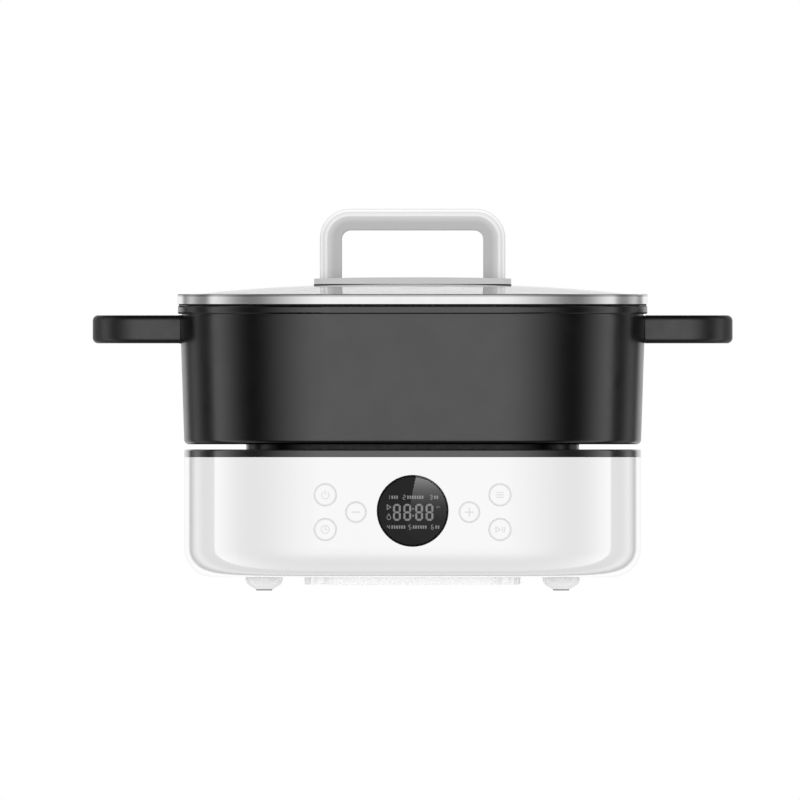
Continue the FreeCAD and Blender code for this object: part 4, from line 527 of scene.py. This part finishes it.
inside = add(
    bow.tree, "ShaderNodeMapRange",
    {"From Min": (BOW_CORNER - BOW_BAND) * MM, "From Max": BOW_CORNER * MM}, {"Value": from_arc.outputs[0]},
)
# The ramp sets the colour: the plastic's grey at the face, painted highlight and painted shade on the rounded
# edge.
painted_edge_ramp = add(bow.tree, "ShaderNodeValToRGB", links={"Fac": inside.outputs["Result"]})
set_stops(painted_edge_ramp, [((BOW_BAND - depth) / BOW_BAND, level) for depth, level in EDGE_LIGHT_STEPS])
bow.tree.links.new(painted_edge_ramp.outputs["Color"], bow.shader.inputs["Base Color"])
uneven(bow, 0.28, 0.32, 40)
grain(bow, 1.2, 0.0006)
print("bow finish:", bow.material.name, "with", len(EDGE_LIGHT_STEPS), "steps from its face to its outline")

# %% Handle plate finish
plate = look("grey_abs_plate", "#CACACA", 0.3, IOR=1.5, Coat_Weight=0.3, Coat_Roughness=0.15)
drift(plate, "#C8C8C8", "#CDCDCD", 20)
uneven(plate, 0.28, 0.32, 40)
grain(plate, 1.2, 0.0006)
finishes["grey_handle"] = plate.material
print("plate finish:", plate.material.name)

# %% [markdown]
# ## Window: smoked acrylic
# The display sits behind a disc of smoked acrylic. Light has to cross the tint twice to show anything
# behind it, so only what glows comes through. The body colour is the share of light that gets through once.
# A thin anti-glare coat about halves what the face mirrors, so the IOR is lower than the 1.49 of bare
# acrylic.

# %% Window and rubber
window = look("smoked_acrylic", "#242424", 0.02, IOR=1.34, Transmission_Weight=1.0)
grain(window, 12, 0.0008)
finishes["smoked_window"] = window.material

rubber = look("grey_silicone_rubber", "#A2A2A2", 0.6, IOR=1.43)
drift(rubber, "#9B9B9B", "#A9A9A9", 3)
uneven(rubber, 0.5, 0.7, 2)
grain(rubber, 0.5, 0.01)
finishes["grey_rubber"] = rubber.material
print("window and pads:", window.material.name, rubber.material.name)

# %% [markdown]
# ## Metals of the heater
# Lift the pot and the heating plate shows: cast aluminium with a face turned on a lathe, so fine rings run
# round its centre. The real rings are a few tenths of a millimetre apart, too fine to show, so they are
# drawn 2.4 mm apart. The spring probe in the middle is a turned aluminium cap. Both carry a thin grey oxide
# skin that scatters part of the light, so they are not fully metallic. Around them are zinc-plated steel
# pressings, a steel heating tube that has gone straw and blue with heat, and a bright spring.

# %% Turned aluminium
# Blender's wave texture turns through this many radians in one unit.
WAVE_TURN = 20


def wave_per(size):
    """The wave texture's scale at which its stripes repeat every `size` millimetres."""
    return per(size) * math.tau / WAVE_TURN


def turned_rings(finish, pitch, height):
    """Lathe rings round the Z axis, `pitch` millimetres apart."""
    rings = add(
        finish.tree, "ShaderNodeTexWave",
        {"wave_type": "RINGS", "rings_direction": "Z", "Scale": wave_per(pitch), "Distortion": 0.4},
        {"Vector": finish.place},
    )
    raised(finish, rings.outputs["Fac"], height)


cast = look("turned_cast_aluminium", "#B9BABC", 0.38, Metallic=0.6)
drift(cast, "#AFB0B2", "#C2C3C5", 14)
uneven(cast, 0.32, 0.46, 6)
turned_rings(cast, 2.4, 0.05)
grain(cast, 0.7, 0.004)
finishes["cast_plate"] = cast.material

probe = look("turned_aluminium_cap", "#D2D3D5", 0.24, Metallic=0.6)
drift(probe, "#CBCCCE", "#D8D9DB", 5)
uneven(probe, 0.2, 0.3, 3)
turned_rings(probe, 0.7, 0.006)
finishes["probe_aluminium"] = probe.material
print("turned metals:", cast.material.name, probe.material.name)

# %% Steel and brass
zinc = look("zinc_plated_steel", "#C3C6C9", 0.3, Metallic=1.0)
drift(zinc, "#B9BDC1", "#CCCDCB", 4)
uneven(zinc, 0.22, 0.4, 3)
grain(zinc, 0.8, 0.003)
finishes["plated_steel"] = zinc.material

tube = look("heat_tinted_steel_tube", "#7C746B", 0.34, Metallic=1.0)
drift(tube, "#8A7A62", "#5E6470", 11)
uneven(tube, 0.28, 0.45, 4)
grain(tube, 0.6, 0.004)
finishes["element_steel"] = tube.material

spring = look("bright_spring_steel", "#B4B6B8", 0.22, Metallic=1.0)
drift(spring, "#A9ABAE", "#BEC0C2", 2)
uneven(spring, 0.18, 0.3, 2)
hair_lines(spring, 0.4, 3, 0.001)
finishes["spring_steel"] = spring.material

brass = look("nickel_brass_pins", "#CDB67E", 0.2, Metallic=1.0)
drift(brass, "#C6AE74", "#D6C08C", 3)
uneven(brass, 0.15, 0.28, 2)
grain(brass, 0.6, 0.002)
finishes["pin_brass"] = brass.material
print("other metals:", zinc.material.name, tube.material.name, spring.material.name, brass.material.name)

# %% [markdown]
# ## Electronics
# The boards are glass-epoxy laminate under a green solder mask, in which the copper tracks show as slightly
# lighter lines. The ribbon cable shows its cores as grooves. The transformer's core is a stack of half-
# millimetre steel sheets, and its edges are what the eye sees. The earth wire is green with a yellow stripe
# along it.

# %% Board finishes
# How far the edge of a stripe fades, as a share of the pitch.
STRIPE_FADE = 0.04


def stripes(finish, first, second, pitch, axis, share=0.5):
    """Two colours in stripes across an axis, `pitch` mm apart. The second one covers `share` of it."""
    bands = add(
        finish.tree, "ShaderNodeTexWave", {"bands_direction": axis, "Scale": wave_per(pitch)},
        {"Vector": finish.place},
    )
    edge = add(
        finish.tree, "ShaderNodeMapRange",
        {"From Min": 1 - share - STRIPE_FADE, "From Max": 1 - share + STRIPE_FADE},
        {"Value": bands.outputs["Fac"]},
    )
    mix = add(
        finish.tree, "ShaderNodeMix",
        {"data_type": "RGBA", 6: linear(first), 7: linear(second)}, {0: edge.outputs["Result"]},
    )
    finish.tree.links.new(mix.outputs[2], finish.shader.inputs["Base Color"])
    return edge.outputs["Result"]


board = look("solder_mask_board", "#1F5A37", 0.28, IOR=1.55, Coat_Weight=0.5, Coat_Roughness=0.12)
raised(board, stripes(board, "#1B5231", "#2E7349", 3.2, "X", 0.4), 0.03)
uneven(board, 0.22, 0.34, 5)
finishes["circuit_board"] = board.material

epoxy = look("moulded_epoxy", "#17181A", 0.5, IOR=1.55)
drift(epoxy, "#131416", "#1E1F21", 3)
uneven(epoxy, 0.42, 0.6, 2)
grain(epoxy, 0.4, 0.006)
finishes["black_component"] = epoxy.material

module = look("display_module_face", "#0C0C0D", 0.5, IOR=1.5)
drift(module, "#0A0A0B", "#101011", 4)
uneven(module, 0.42, 0.6, 2)
grain(module, 0.5, 0.003)
finishes["light_segments"] = module.material
print("board finishes:", board.material.name, epoxy.material.name, module.material.name)

# %% Component finishes
case = look("relay_polyester_case", "#2F5E9E", 0.35, IOR=1.55)
drift(case, "#2C5894", "#3465A6", 6)
uneven(case, 0.3, 0.42, 3)
grain(case, 0.6, 0.003)
finishes["relay_case"] = case.material

sleeve = look("capacitor_sleeve", "#1D2B4A", 0.3, IOR=1.5, Coat_Weight=0.4)
stripes(sleeve, "#1B2844", "#C9CDD4", 18, "X", 0.12)
uneven(sleeve, 0.24, 0.38, 4)
grain(sleeve, 2.5, 0.006)
finishes["capacitor_sleeve"] = sleeve.material

terminals = look("terminal_nylon", "#E3E0D6", 0.45, IOR=1.53)
drift(terminals, "#DEDACE", "#E9E6DD", 4)
uneven(terminals, 0.4, 0.55, 2)
grain(terminals, 0.5, 0.005)
finishes["terminal_plastic"] = terminals.material

core = look("laminated_core", "#6E6F72", 0.4, Metallic=1.0)
raised(core, stripes(core, "#5A5B5E", "#86878A", 0.7, "Z"), 0.04)
uneven(core, 0.34, 0.5, 3)
finishes["transformer_core"] = core.material

fuse_can = look("fuse_tin_body", "#C9C6BE", 0.3, Metallic=0.6)
drift(fuse_can, "#BFBBB2", "#D2D0C9", 3)
uneven(fuse_can, 0.24, 0.4, 2)
finishes["fuse_body"] = fuse_can.material
print("components:", case.material.name, sleeve.material.name, terminals.material.name, core.material.name)

# %% Wire finishes
ribbon = look("grey_ribbon_pvc", "#A9ABAE", 0.4, IOR=1.53)
raised(ribbon, stripes(ribbon, "#A6A8AB", "#8D8F92", 1.27, "X", 0.3), 0.2)
uneven(ribbon, 0.34, 0.48, 3)
finishes["ribbon_grey"] = ribbon.material

for slot_name, first, second in (
    ("wire_white", "#E9E7E2", "#F2F0EC"),
    ("wire_brown", "#5A3A22", "#68452B"),
    ("wire_green", "#2E7D3A", "#38904A"),
):
    jacket = look(slot_name.replace("wire", "silicone_wire"), first, 0.42, IOR=1.45)
    drift(jacket, first, second, 5)
    uneven(jacket, 0.36, 0.5, 3)
    grain(jacket, 0.6, 0.006)
    finishes[slot_name] = jacket.material
print("finishes:", len(finishes))

# %% [markdown]
# ## Dress the solids
# Each solid carries the name of the slot that its finish comes from, so dressing is a look-up. The bridge
# handle and the plate under it share a slot, and the handle gets its own finish, with painted highlight and
# shade on its edge.

# %% Dress the solids
dressed = 0
for node in nodes.values():
    for slot in node.material_slots:
        slot.material = finishes[slot.material.name]
        dressed += 1
# The handle's finish paints highlight and shade along its rounded edge.
nodes["lid_handle"].material_slots[0].material = bow.material
nodes["lid_washers"].material_slots[0].material = washers.material
print("dressed", dressed, "slots")

# %% [markdown]
# ## Printed marks
# Keys carry pad-printed marks: a ring and a plain symbol in pale grey ink a few hundredths of a millimetre
# thick. A texture could draw them, but then they would blur and could not be pressed with the key, so each
# is a small mesh that rides on its key. All marks are outlines in the plane of the front, with x to the
# right and z up, in millimetres.

# %% Helpers for flat marks
# The mitre of a sharp corner runs far out, so what its width is divided by is kept at this or more.
MITRE_LIMIT = 0.35


def bar(x, z, wide, tall):
    """A rectangle round (x, z)."""
    left, right, low, high = x - wide / 2, x + wide / 2, z - tall / 2, z + tall / 2
    return [[(left, low), (right, low), (right, high), (left, high)]]


def arc(x, z, radius, width, start=0.0, end=360.0, steps=72):
    """A curved band round (x, z), from one angle to another in degrees."""
    inner, outer = radius - width / 2, radius + width / 2
    angles = [math.radians(start + (end - start) * i / steps) for i in range(steps + 1)]
    rays = [(math.cos(a), math.sin(a)) for a in angles]
    return [
        [(x + r * c, z + r * s) for r, (c, s) in ((inner, a), (outer, a), (outer, b), (inner, b))]
        for a, b in zip(rays, rays[1:])
    ]


def line(points, width, closed=False):
    """A band of one width along (x, z) points, with mitred corners."""
    count = len(points)
    pairs = []
    for i, point in enumerate(points):
        here = Vector(point)
        before = Vector(points[i - 1]) if closed or i else None
        after = Vector(points[(i + 1) % count]) if closed or i < count - 1 else None
        ways = [(here - before).normalized()] if before else []
        ways += [(after - here).normalized()] if after else []
        way = sum(ways, Vector((0, 0))).normalized()
        side = Vector((-way.y, way.x))
        reach = width / 2 / max(MITRE_LIMIT, side.dot(Vector((-ways[0].y, ways[0].x))))
        pairs.append((tuple(here + side * reach), tuple(here - side * reach)))
    follow = pairs + pairs[:1] if closed else pairs
    return [[a[0], b[0], b[1], a[1]] for a, b in zip(follow, follow[1:])]


def as_piece(name, shape, material, body):
    """Turns a bmesh into a piece that rides on a body, and frees the bmesh."""
    mesh = bpy.data.meshes.new(name)
    shape.to_mesh(mesh)
    shape.free()
    mesh.materials.append(material)
    piece = bpy.data.objects.new(name, mesh)
    bpy.context.collection.objects.link(piece)
    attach(piece, body)


def print_marks(name, outlines, back, thickness, material, body):
    """A flat piece made of outlines, whose back lies on the plane y = back, in millimetres."""
    sheet = bmesh.new()
    for outline in outlines:
        sheet.faces.new([sheet.verts.new((x * MM, (back - thickness) * MM, z * MM)) for x, z in outline])
    bmesh.ops.remove_doubles(sheet, verts=sheet.verts, dist=0.002 * MM)
    for face in sheet.faces:
        if face.normal.y > 0:
            face.normal_flip()
    backs = bmesh.ops.extrude_face_region(sheet, geom=sheet.faces[:])
    moved = [part for part in backs["geom"] if isinstance(part, bmesh.types.BMVert)]
    bmesh.ops.translate(sheet, verts=moved, vec=(0, thickness * MM, 0))
    bmesh.ops.recalc_face_normals(sheet, faces=sheet.faces)
    as_piece(name, sheet, material, body)


print("a ring has", len(arc(0, 0, 5, 1)), "outlines")

# %% [markdown]
# ## Ink on the keys
# Pad-printing ink is matt and slightly translucent, so it is only a little darker than the key. The symbols
# are the plain ones that such panels share: on/off, a clock, less, more, a list for the mode, and start
# beside stop.

# %% Key marks
INK_THICKNESS = 0.03
# The y of the housing's front, which the faces of the keys and of the window are flush with.
KEY_FACE = -141.0

ink = look("pale_grey_pad_ink", "#DFDFDF", 0.5, IOR=1.5)
drift(ink, "#DDDDDD", "#E2E2E2", 2)
uneven(ink, 0.45, 0.58, 1)
grain(ink, 0.3, 0.001)

# Behind the wall a key is wider than its face by a flange, and its ring lies inside the face.
KEY_FLANGE = 1.2
RING_INSET, RING_WIDTH = 0.45, 0.9


def key_face(key):
    """The middle of a key's face and its radius, in millimetres."""
    low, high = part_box("key_" + key)
    return (low.x + high.x) / 2 / MM, (low.z + high.z) / 2 / MM, (high.x - low.x) / 2 / MM - KEY_FLANGE


LINE = 0.6
symbols = {
    "power": arc(0, -0.2, 2.3, LINE, 125, 415, 48) + bar(0, 1.6, LINE, 2.8),
    "timer": arc(0, 0, 2.5, LINE) + bar(0, 0.75, LINE, 2.0) + line([(0.3, -0.25), (1.4, -0.25)], LINE),
    "minus": bar(0, 0, 5.4, 0.8),
    "plus": bar(0, 0, 5.4, 0.8) + bar(0, 1.55, 0.8, 2.3) + bar(0, -1.55, 0.8, 2.3),
    "mode": bar(0, 1.5, 4.6, LINE) + bar(0, 0, 4.6, LINE) + bar(0, -1.5, 4.6, LINE),
    "start": line([(-2.6, -1.6), (-2.6, 1.6), (0.1, 0)], LINE, closed=True)
    + bar(1.6, 0, LINE, 3.4) + bar(2.9, 0, LINE, 3.4),
}
for key, symbol in symbols.items():
    x, z, radius = key_face(key)
    moved = [[(x + a, z + b) for a, b in outline] for outline in symbol]
    ring = arc(x, z, radius - RING_INSET, RING_WIDTH)
    print_marks(
        f"key_{key}_mark", ring + moved, KEY_FACE, INK_THICKNESS, ink.material,
        f"key_{key}_body",
    )
    print("key", key, "at", round(x, 1), round(z, 1))

# %% [markdown]
# ## Dark seals and pale sills in the gaps
# Where two hard pieces meet, the gap between them lies in shade. A dark soft piece stands in each such gap:
# partly a seal, partly painted shade, as its black stands in for the gap's shadow. There is a lip under the
# lid's rim, a lip on the deck round the heater's collar, a foot seal under the handle's plate, and pads where
# the grips meet the pot. Round a square with rounded corners, a seal is a small profile carried along a loop.
# The key gaps get a pale sill, painted light over the gaps' shade, so that they read as a soft ring and not
# as a black slit.


# %% Helpers for seals
def rounded_loop(half_x, half_y, corner, steps=16):
    """Points and outward directions round a rectangle with rounded corners, in millimetres."""
    points = []
    for turn, (side_x, side_y) in enumerate(((1, 1), (-1, 1), (-1, -1), (1, -1))):
        middle = Vector((side_x * (half_x - corner), side_y * (half_y - corner)))
        for step in range(steps + 1):
            angle = math.radians(90 * (turn + step / steps))
            out = Vector((math.cos(angle), math.sin(angle)))
            points.append((middle + out * corner, out))
    return points


def carry(name, loop, profile, material, body, level=lambda x, y: 0.0):
    """Carries a profile of (outward, up) points in mm round a loop. level adds a height at each place."""
    ring = bmesh.new()
    rows = []
    for point, out in loop:
        spots = [(point + out * away, up) for away, up in profile]
        rows.append([ring.verts.new((p.x * MM, p.y * MM, (up + level(p.x, p.y)) * MM)) for p, up in spots])
    for row, after in zip(rows, rows[1:] + rows[:1]):
        for i in range(len(profile)):
            j = (i + 1) % len(profile)
            ring.faces.new((row[i], after[i], after[j], row[j]))
    bmesh.ops.remove_doubles(ring, verts=ring.verts, dist=0.001 * MM)
    bmesh.ops.recalc_face_normals(ring, faces=ring.faces)
    as_piece(name, ring, material, body)


def lip_profile(inner, outer, low, high, edge):
    """A small block with bevelled outer edges, as (outward, up) points. All its sizes are in millimetres."""
    bottom = [(inner, low), (outer - edge, low), (outer, low + edge)]
    top = [(outer, high - edge), (outer - edge, high), (inner, high)]
    return bottom + top


print("a loop has", len(rounded_loop(10, 10, 5)), "points")

# %% Seals
# Black silicone for the dark seals. Its black also stands in for the shade in the gaps they fill: painted
# shade.
shade_black_silicone = look("shade_black_silicone", "#101010", 0.55, IOR=1.41)
drift(shade_black_silicone, "#0F0F0F", "#131313", 4)
uneven(shade_black_silicone, 0.5, 0.62, 2)
grain(shade_black_silicone, 0.6, 0.004)

# The lip round the heater is dipped in a smooth black lacquer, so that a spill wipes off. Its dark colour is
# painted shade: the shadow under the pot's overhang.
lip_coat = look("lacquered_black_silicone", "#1E1E1E", 0.22, IOR=1.5)
drift(lip_coat, "#1B1B1B", "#222222", 6)
uneven(lip_coat, 0.18, 0.27, 4)

# The lip under the rim fills the gap between the pot's top and the rim, and stays just inside the rim's
# edge. Its black stands in for the shadow in that gap: painted shade.
RIM_HALF, RIM_CORNER, RIM_GAP = 145.0, 90.0, 1.05
rim_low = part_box("pot")[1].z / MM
rim_lip = lip_profile(-1.7, -0.7, rim_low + 0.06, rim_low + RIM_GAP + 0.02, 0.2)
carry(
    "lid_lip_shade_seal", rounded_loop(RIM_HALF, RIM_HALF, RIM_CORNER), rim_lip, shade_black_silicone.material,
    "lid",
)

# The lip stands round the collar and reaches past its top, up to the pot's underside. It is a dark piece
# put where the shadow under the pot is, so it is painted shade.
LIP_HALF, LIP_CORNER, LIP_THICKNESS = 102.7, 44.0, 1.2
LIP_DOWN, LIP_UP = 3.0, 0.54
collar_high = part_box("top_cover")[1].z / MM
lip_high = collar_high + LIP_UP
collar_shade_lip = lip_profile(-LIP_THICKNESS, 0.0, collar_high - LIP_DOWN, lip_high, 0.1)
carry(
    "collar_shade_lip", rounded_loop(LIP_HALF, LIP_HALF, LIP_CORNER, 32), collar_shade_lip, lip_coat.material,
    "base",
)

# The glass falls by DOME_DROP from its middle to DOME_HALF, on a plan between a circle and a square.
DOME_TOP, DOME_DROP, DOME_HALF, DOME_POWER, DOME_BLEND = 189.0, 7.4, 144.0, 2.6, 0.29


def dome(x, y):
    """The height of the glass at a place, in millimetres."""
    across, along = x / DOME_HALF, y / DOME_HALF
    reach = (across**4 + along**4 + DOME_BLEND * across**2 * along**2) ** 0.25
    return DOME_TOP - DOME_DROP * reach**DOME_POWER


PLATE_CORNER = 5.0
# A dark seal under the handle's plate lies on the glass. Its black is painted shade: the plate's contact
# shadow.
plate_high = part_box("lid_handle_plate")[1]
carry(
    "plate_shade_seal", rounded_loop(plate_high.x / MM, plate_high.y / MM, PLATE_CORNER),
    lip_profile(-1.0, 0.12, 0.02, 0.8, 0.1), shade_black_silicone.material, "lid", dome,
)
print("rim seal from", round(rim_low, 2), "mm, spill lip to", round(lip_high, 2), "mm")

# %% Grip pads and key sills
# Black pads where the grips meet the pot. Their black is painted shade at that join.
# Where a pad's middle is, from the middle of the pot and from the ground, and how big the pad is.
PAD_OUT, PAD_ALONG, PAD_HEIGHT = 142.95, 50.4, 161.2
PAD_THICK, PAD_WIDE, PAD_TALL, PAD_EDGE = 1.3, 16.6, 17.0, 0.3
for side, name in ((-1, "left"), (1, "right")):
    for end, where in ((-1, "front"), (1, "back")):
        block = bmesh.new()
        bmesh.ops.create_cube(block, size=1.0)
        for corner in block.verts:
            across = side * (PAD_OUT + corner.co.x * PAD_THICK)
            along = end * PAD_ALONG + corner.co.y * PAD_WIDE
            corner.co = Vector((across, along, PAD_HEIGHT + corner.co.z * PAD_TALL)) * MM
        bmesh.ops.bevel(block, geom=block.edges[:], offset=PAD_EDGE * MM, segments=2, affect="EDGES")
        bmesh.ops.recalc_face_normals(block, faces=block.faces)
        as_piece(f"grip_shade_pad_{name}_{where}", block, shade_black_silicone.material, "pot_body")

# A sill fills the gap between a key and its hole, and its front lies a little behind the key's face. Its pale
# colour is painted light over the gap's shade.
KEY_GAP, SILL_WIDTH = 0.3, 0.26
SILL_BACK, SILL_THICKNESS = KEY_FACE + 0.55, 0.4
sills = []
for key in symbols:
    x, z, radius = key_face(key)
    sills += arc(x, z, radius + KEY_GAP / 2, SILL_WIDTH)
print_marks("pale_key_gap_sills", sills, SILL_BACK, SILL_THICKNESS, finishes["white_keys"], "base")
print("sills", len(sills), "outlines")

# %% [markdown]
# ## The lit display
# Behind the window glow four seven-segment figures with a colon, two small icons, and six numbered
# programme lamps in two rows, each a small figure with a level bar. A real module has light pipes in the
# shape of each segment, so each segment is a six-sided bar with a small gap to the next. They lie on the
# module's face, behind the tinted window, and their glow is strong because the tint swallows most of it.

# %% Display segments
GLOW_THICKNESS = 0.2
# The gap at each end of a segment, as a share of its width.
SEGMENT_GAP = 0.12
SEGMENTS = {"1": "bc", "2": "abged", "3": "abgcd", "4": "fgbc", "5": "afgcd", "6": "afgedc", "8": "abcdefg"}


def figure(number, x, z, wide, tall, stroke):
    """The lit segments of one figure round (x, z)."""
    gap = stroke * SEGMENT_GAP
    across, up = (wide - stroke) / 2, (tall - stroke) / 2
    half = stroke / 2
    level = {"a": up, "g": 0, "d": -up}
    upright = {"b": (across, up / 2), "c": (across, -up / 2), "e": (-across, -up / 2), "f": (-across, up / 2)}
    outlines = []
    for name in SEGMENTS[number]:
        if name in level:
            reach = across - gap
            cx, cz = x, z + level[name]
            outlines.append([
                (cx - reach, cz), (cx - reach + half, cz - half), (cx + reach - half, cz - half),
                (cx + reach, cz), (cx + reach - half, cz + half), (cx - reach + half, cz + half),
            ])
        else:
            reach = up / 2 - gap
            cx, cz = x + upright[name][0], z + upright[name][1]
            outlines.append([
                (cx, cz - reach), (cx + half, cz - reach + half), (cx + half, cz + reach - half),
                (cx, cz + reach), (cx - half, cz + reach - half), (cx - half, cz - reach + half),
            ])
    return outlines


print("an 8 has", len(figure("8", 0, 0, 4.8, 10.4, 1.25)), "segments")

# %% Time, icons and lamps
# Width, height and stroke of a figure of the time, and of a figure beside a lamp.
TIME_FIGURE = (4.8, 10.4, 1.25)
LAMP_FIGURE = (1.8, 3.0, 0.48)
TIME_HEIGHT = 48.3
FIGURE_PLACES = (-9.7, -3.3, 4.0, 10.4)
COLON_PLACE, COLON_REACH, DOT = 0.3, 2.1, 0.95
time_marks = []
for x in FIGURE_PLACES:
    time_marks += figure("8", x, TIME_HEIGHT, *TIME_FIGURE)
for z in (TIME_HEIGHT + COLON_REACH, TIME_HEIGHT - COLON_REACH):
    time_marks += bar(COLON_PLACE, z, DOT, DOT)

# A triangle and a drop at the left, and a small figure with a dash at the right.
icons = line([(-15.7, 50.1), (-15.7, 52.9), (-13.4, 51.5)], 0.5, closed=True)
icons += arc(-14.7, 45.0, 1.15, 0.45, 150, 390, 24)
icons += line([(-15.75, 45.5), (-14.7, 47.3), (-13.65, 45.5)], 0.45)
icons += figure("1", 14.6, 51.6, 1.3, 2.4, 0.4) + bar(16.4, 51.6, 1.2, 0.4)

lamps = []
TOP_ROW, BOTTOM_ROW = 57.6, 39.2
# A level bar is a row of small bars that starts this far from its number.
LEVEL_START, LEVEL_PITCH, LEVEL_BAR = 2.3, 1.5, (0.95, 2.0)
for number, x, z, reach in (
    ("1", -14.9, TOP_ROW, 5.0), ("2", -5.2, TOP_ROW, 11.6), ("3", 11.4, TOP_ROW, 3.6),
    ("4", -14.9, BOTTOM_ROW, 9.4), ("5", -1.7, BOTTOM_ROW, 9.6), ("6", 12.2, BOTTOM_ROW, 3.0),
):
    lamps += figure(number, x, z, *LAMP_FIGURE)
    for step in range(int(reach // LEVEL_PITCH)):
        lamps += bar(x + LEVEL_START + step * LEVEL_PITCH, z, *LEVEL_BAR)
print("display:", len(time_marks), "outlines of time,", len(icons), "of icons,", len(lamps), "of lamps")

# %% Lit marks
glow = look("white_light_pipe", "#20201F", 0.5, IOR=1.5, Emission_Strength=16.0)
brightness = add(glow.tree, "ShaderNodeTexNoise", {"Scale": per(3), "Detail": 1.0}, {"Vector": glow.place})
glow_colour = add(
    glow.tree, "ShaderNodeMix",
    {"data_type": "RGBA", 6: linear("#D8D8D8"), 7: linear("#F4F4F4")}, {0: brightness.outputs["Fac"]},
)
glow.tree.links.new(glow_colour.outputs[2], glow.shader.inputs["Emission Color"])

module_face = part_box("display_module")[0].y / MM
for name, outlines in (("time_figures", time_marks), ("display_icons", icons), ("programme_lamps", lamps)):
    print_marks(name, outlines, module_face, GLOW_THICKNESS, glow.material, "base")
    print(name, len(outlines), "outlines")

# %% [markdown]
# ## The window's border
# The window's rim is printed black on its face, which hides the glue behind it. The ink is smooth but
# mirrors much less than the acrylic, so it looks darker than the window inside it.

# %% Window border
border_ink = look("black_screen_ink", "#030303", 0.12, IOR=1.3, Specular_IOR_Level=0.15)
drift(border_ink, "#020202", "#050505", 3)
uneven(border_ink, 0.1, 0.15, 4)
WINDOW_MIDDLE = (0.0, 49.2)
WINDOW_RADIUS = 22.0
BORDER_INSET, BORDER_WIDTH = 0.65, 0.8
border = arc(*WINDOW_MIDDLE, WINDOW_RADIUS - BORDER_INSET, BORDER_WIDTH, steps=128)
print_marks(
    "window_border", border, KEY_FACE, INK_THICKNESS, border_ink.material, "base"
)
print("border of", WINDOW_RADIUS, "mm radius")

# %% [markdown]
# ## A card for the window's glare
# Flat glossy windows look dead without a light in them. A studio holds up a white card so that the glass
# mirrors one corner of it. Here the card hangs a tenth of a millimetre in front of the window, so that no
# wall beside it mirrors the card too. It is seen by mirrors only, and fades downwards. Its left edge leans,
# as a card's edge does.


# %% Glare card
def seen_only_by(card, ray_kind):
    """Makes a card a stage piece that only one kind of ray sees."""
    for kind in ("camera", "diffuse", "glossy", "transmission", "shadow", "volume_scatter"):
        setattr(card, "visible_" + kind, kind == ray_kind)


CARD_PLACE = -141.1
CARD_GLOW = 9.8
# Between these heights the card fades. Its outline is the leaning edge, then the window's own round.
CARD_LOW, CARD_HIGH = 36.0, 71.0
LEANING_EDGE = [(-4.3, CARD_LOW), (-0.4, 58.6), (2.2, 71.3)]
ROUND_START, ROUND_END, ROUND_STEPS = 82, -70, 24
round_angles = [
    math.radians(ROUND_START + (ROUND_END - ROUND_START) * i / ROUND_STEPS) for i in range(ROUND_STEPS + 1)
]
card_outline = LEANING_EDGE + [
    (WINDOW_MIDDLE[0] + WINDOW_RADIUS * math.cos(a), WINDOW_MIDDLE[1] + WINDOW_RADIUS * math.sin(a))
    for a in round_angles
]
card_paint, card_tree = empty_material("fading_card")
card_place = add(card_tree, "ShaderNodeTexCoord").outputs["Object"]
card_axes = add(card_tree, "ShaderNodeSeparateXYZ", links={0: card_place})
card_height = add(
    card_tree, "ShaderNodeMapRange", {"From Min": CARD_LOW * MM, "From Max": CARD_HIGH * MM},
    {"Value": card_axes.outputs["Z"]},
)
card_fade = add(card_tree, "ShaderNodeValToRGB", links={"Fac": card_height.outputs["Result"]})
set_stops(card_fade, [(0.0, 0.115), (0.25, 0.145), (0.45, 0.21), (0.62, 0.36), (0.77, 0.60), (0.92, 1.0)])
card_light = add(
    card_tree, "ShaderNodeEmission", {"Strength": CARD_GLOW}, {"Color": card_fade.outputs["Color"]}
)
add(card_tree, "ShaderNodeOutputMaterial", links={"Surface": card_light.outputs[0]})
corners = [(x * MM, CARD_PLACE * MM, z * MM) for x, z in card_outline]
seen_only_by(flat_card("glare_card", corners, card_paint), "glossy")
print("card outline has", len(card_outline), "corners")

# %% [markdown]
# ## Cards that fill the dark corners
# A glass lid over a dark pot eats the light that should reach the handle from below, and the narrow gap
# under the base does the same to the vented box and the feet. A studio lays white cards there. These are
# seen by bounced light only, and the glass lets that light pass.


# %% Bounce cards
def bounce_card(name, half, level, glow):
    """A level white card that only bounced light sees, with its half width and its height in millimetres."""
    white_paper, tree = empty_material(name + "_paper")
    light = add(tree, "ShaderNodeEmission", {"Strength": glow})
    add(tree, "ShaderNodeOutputMaterial", links={"Surface": light.outputs[0]})
    corners = [(x * half * MM, y * half * MM, level * MM) for x, y in SQUARE]
    seen_only_by(flat_card(name, corners, white_paper), "diffuse")
    print(name, "at", level, "mm")


bounce_card("card_under_glass", half=128.0, level=172.0, glow=0.85)
bounce_card("card_under_base", half=82.0, level=0.3, glow=1.45)
nodes["lid_glass"].visible_diffuse = False
nodes["lid_glass"].visible_shadow = False
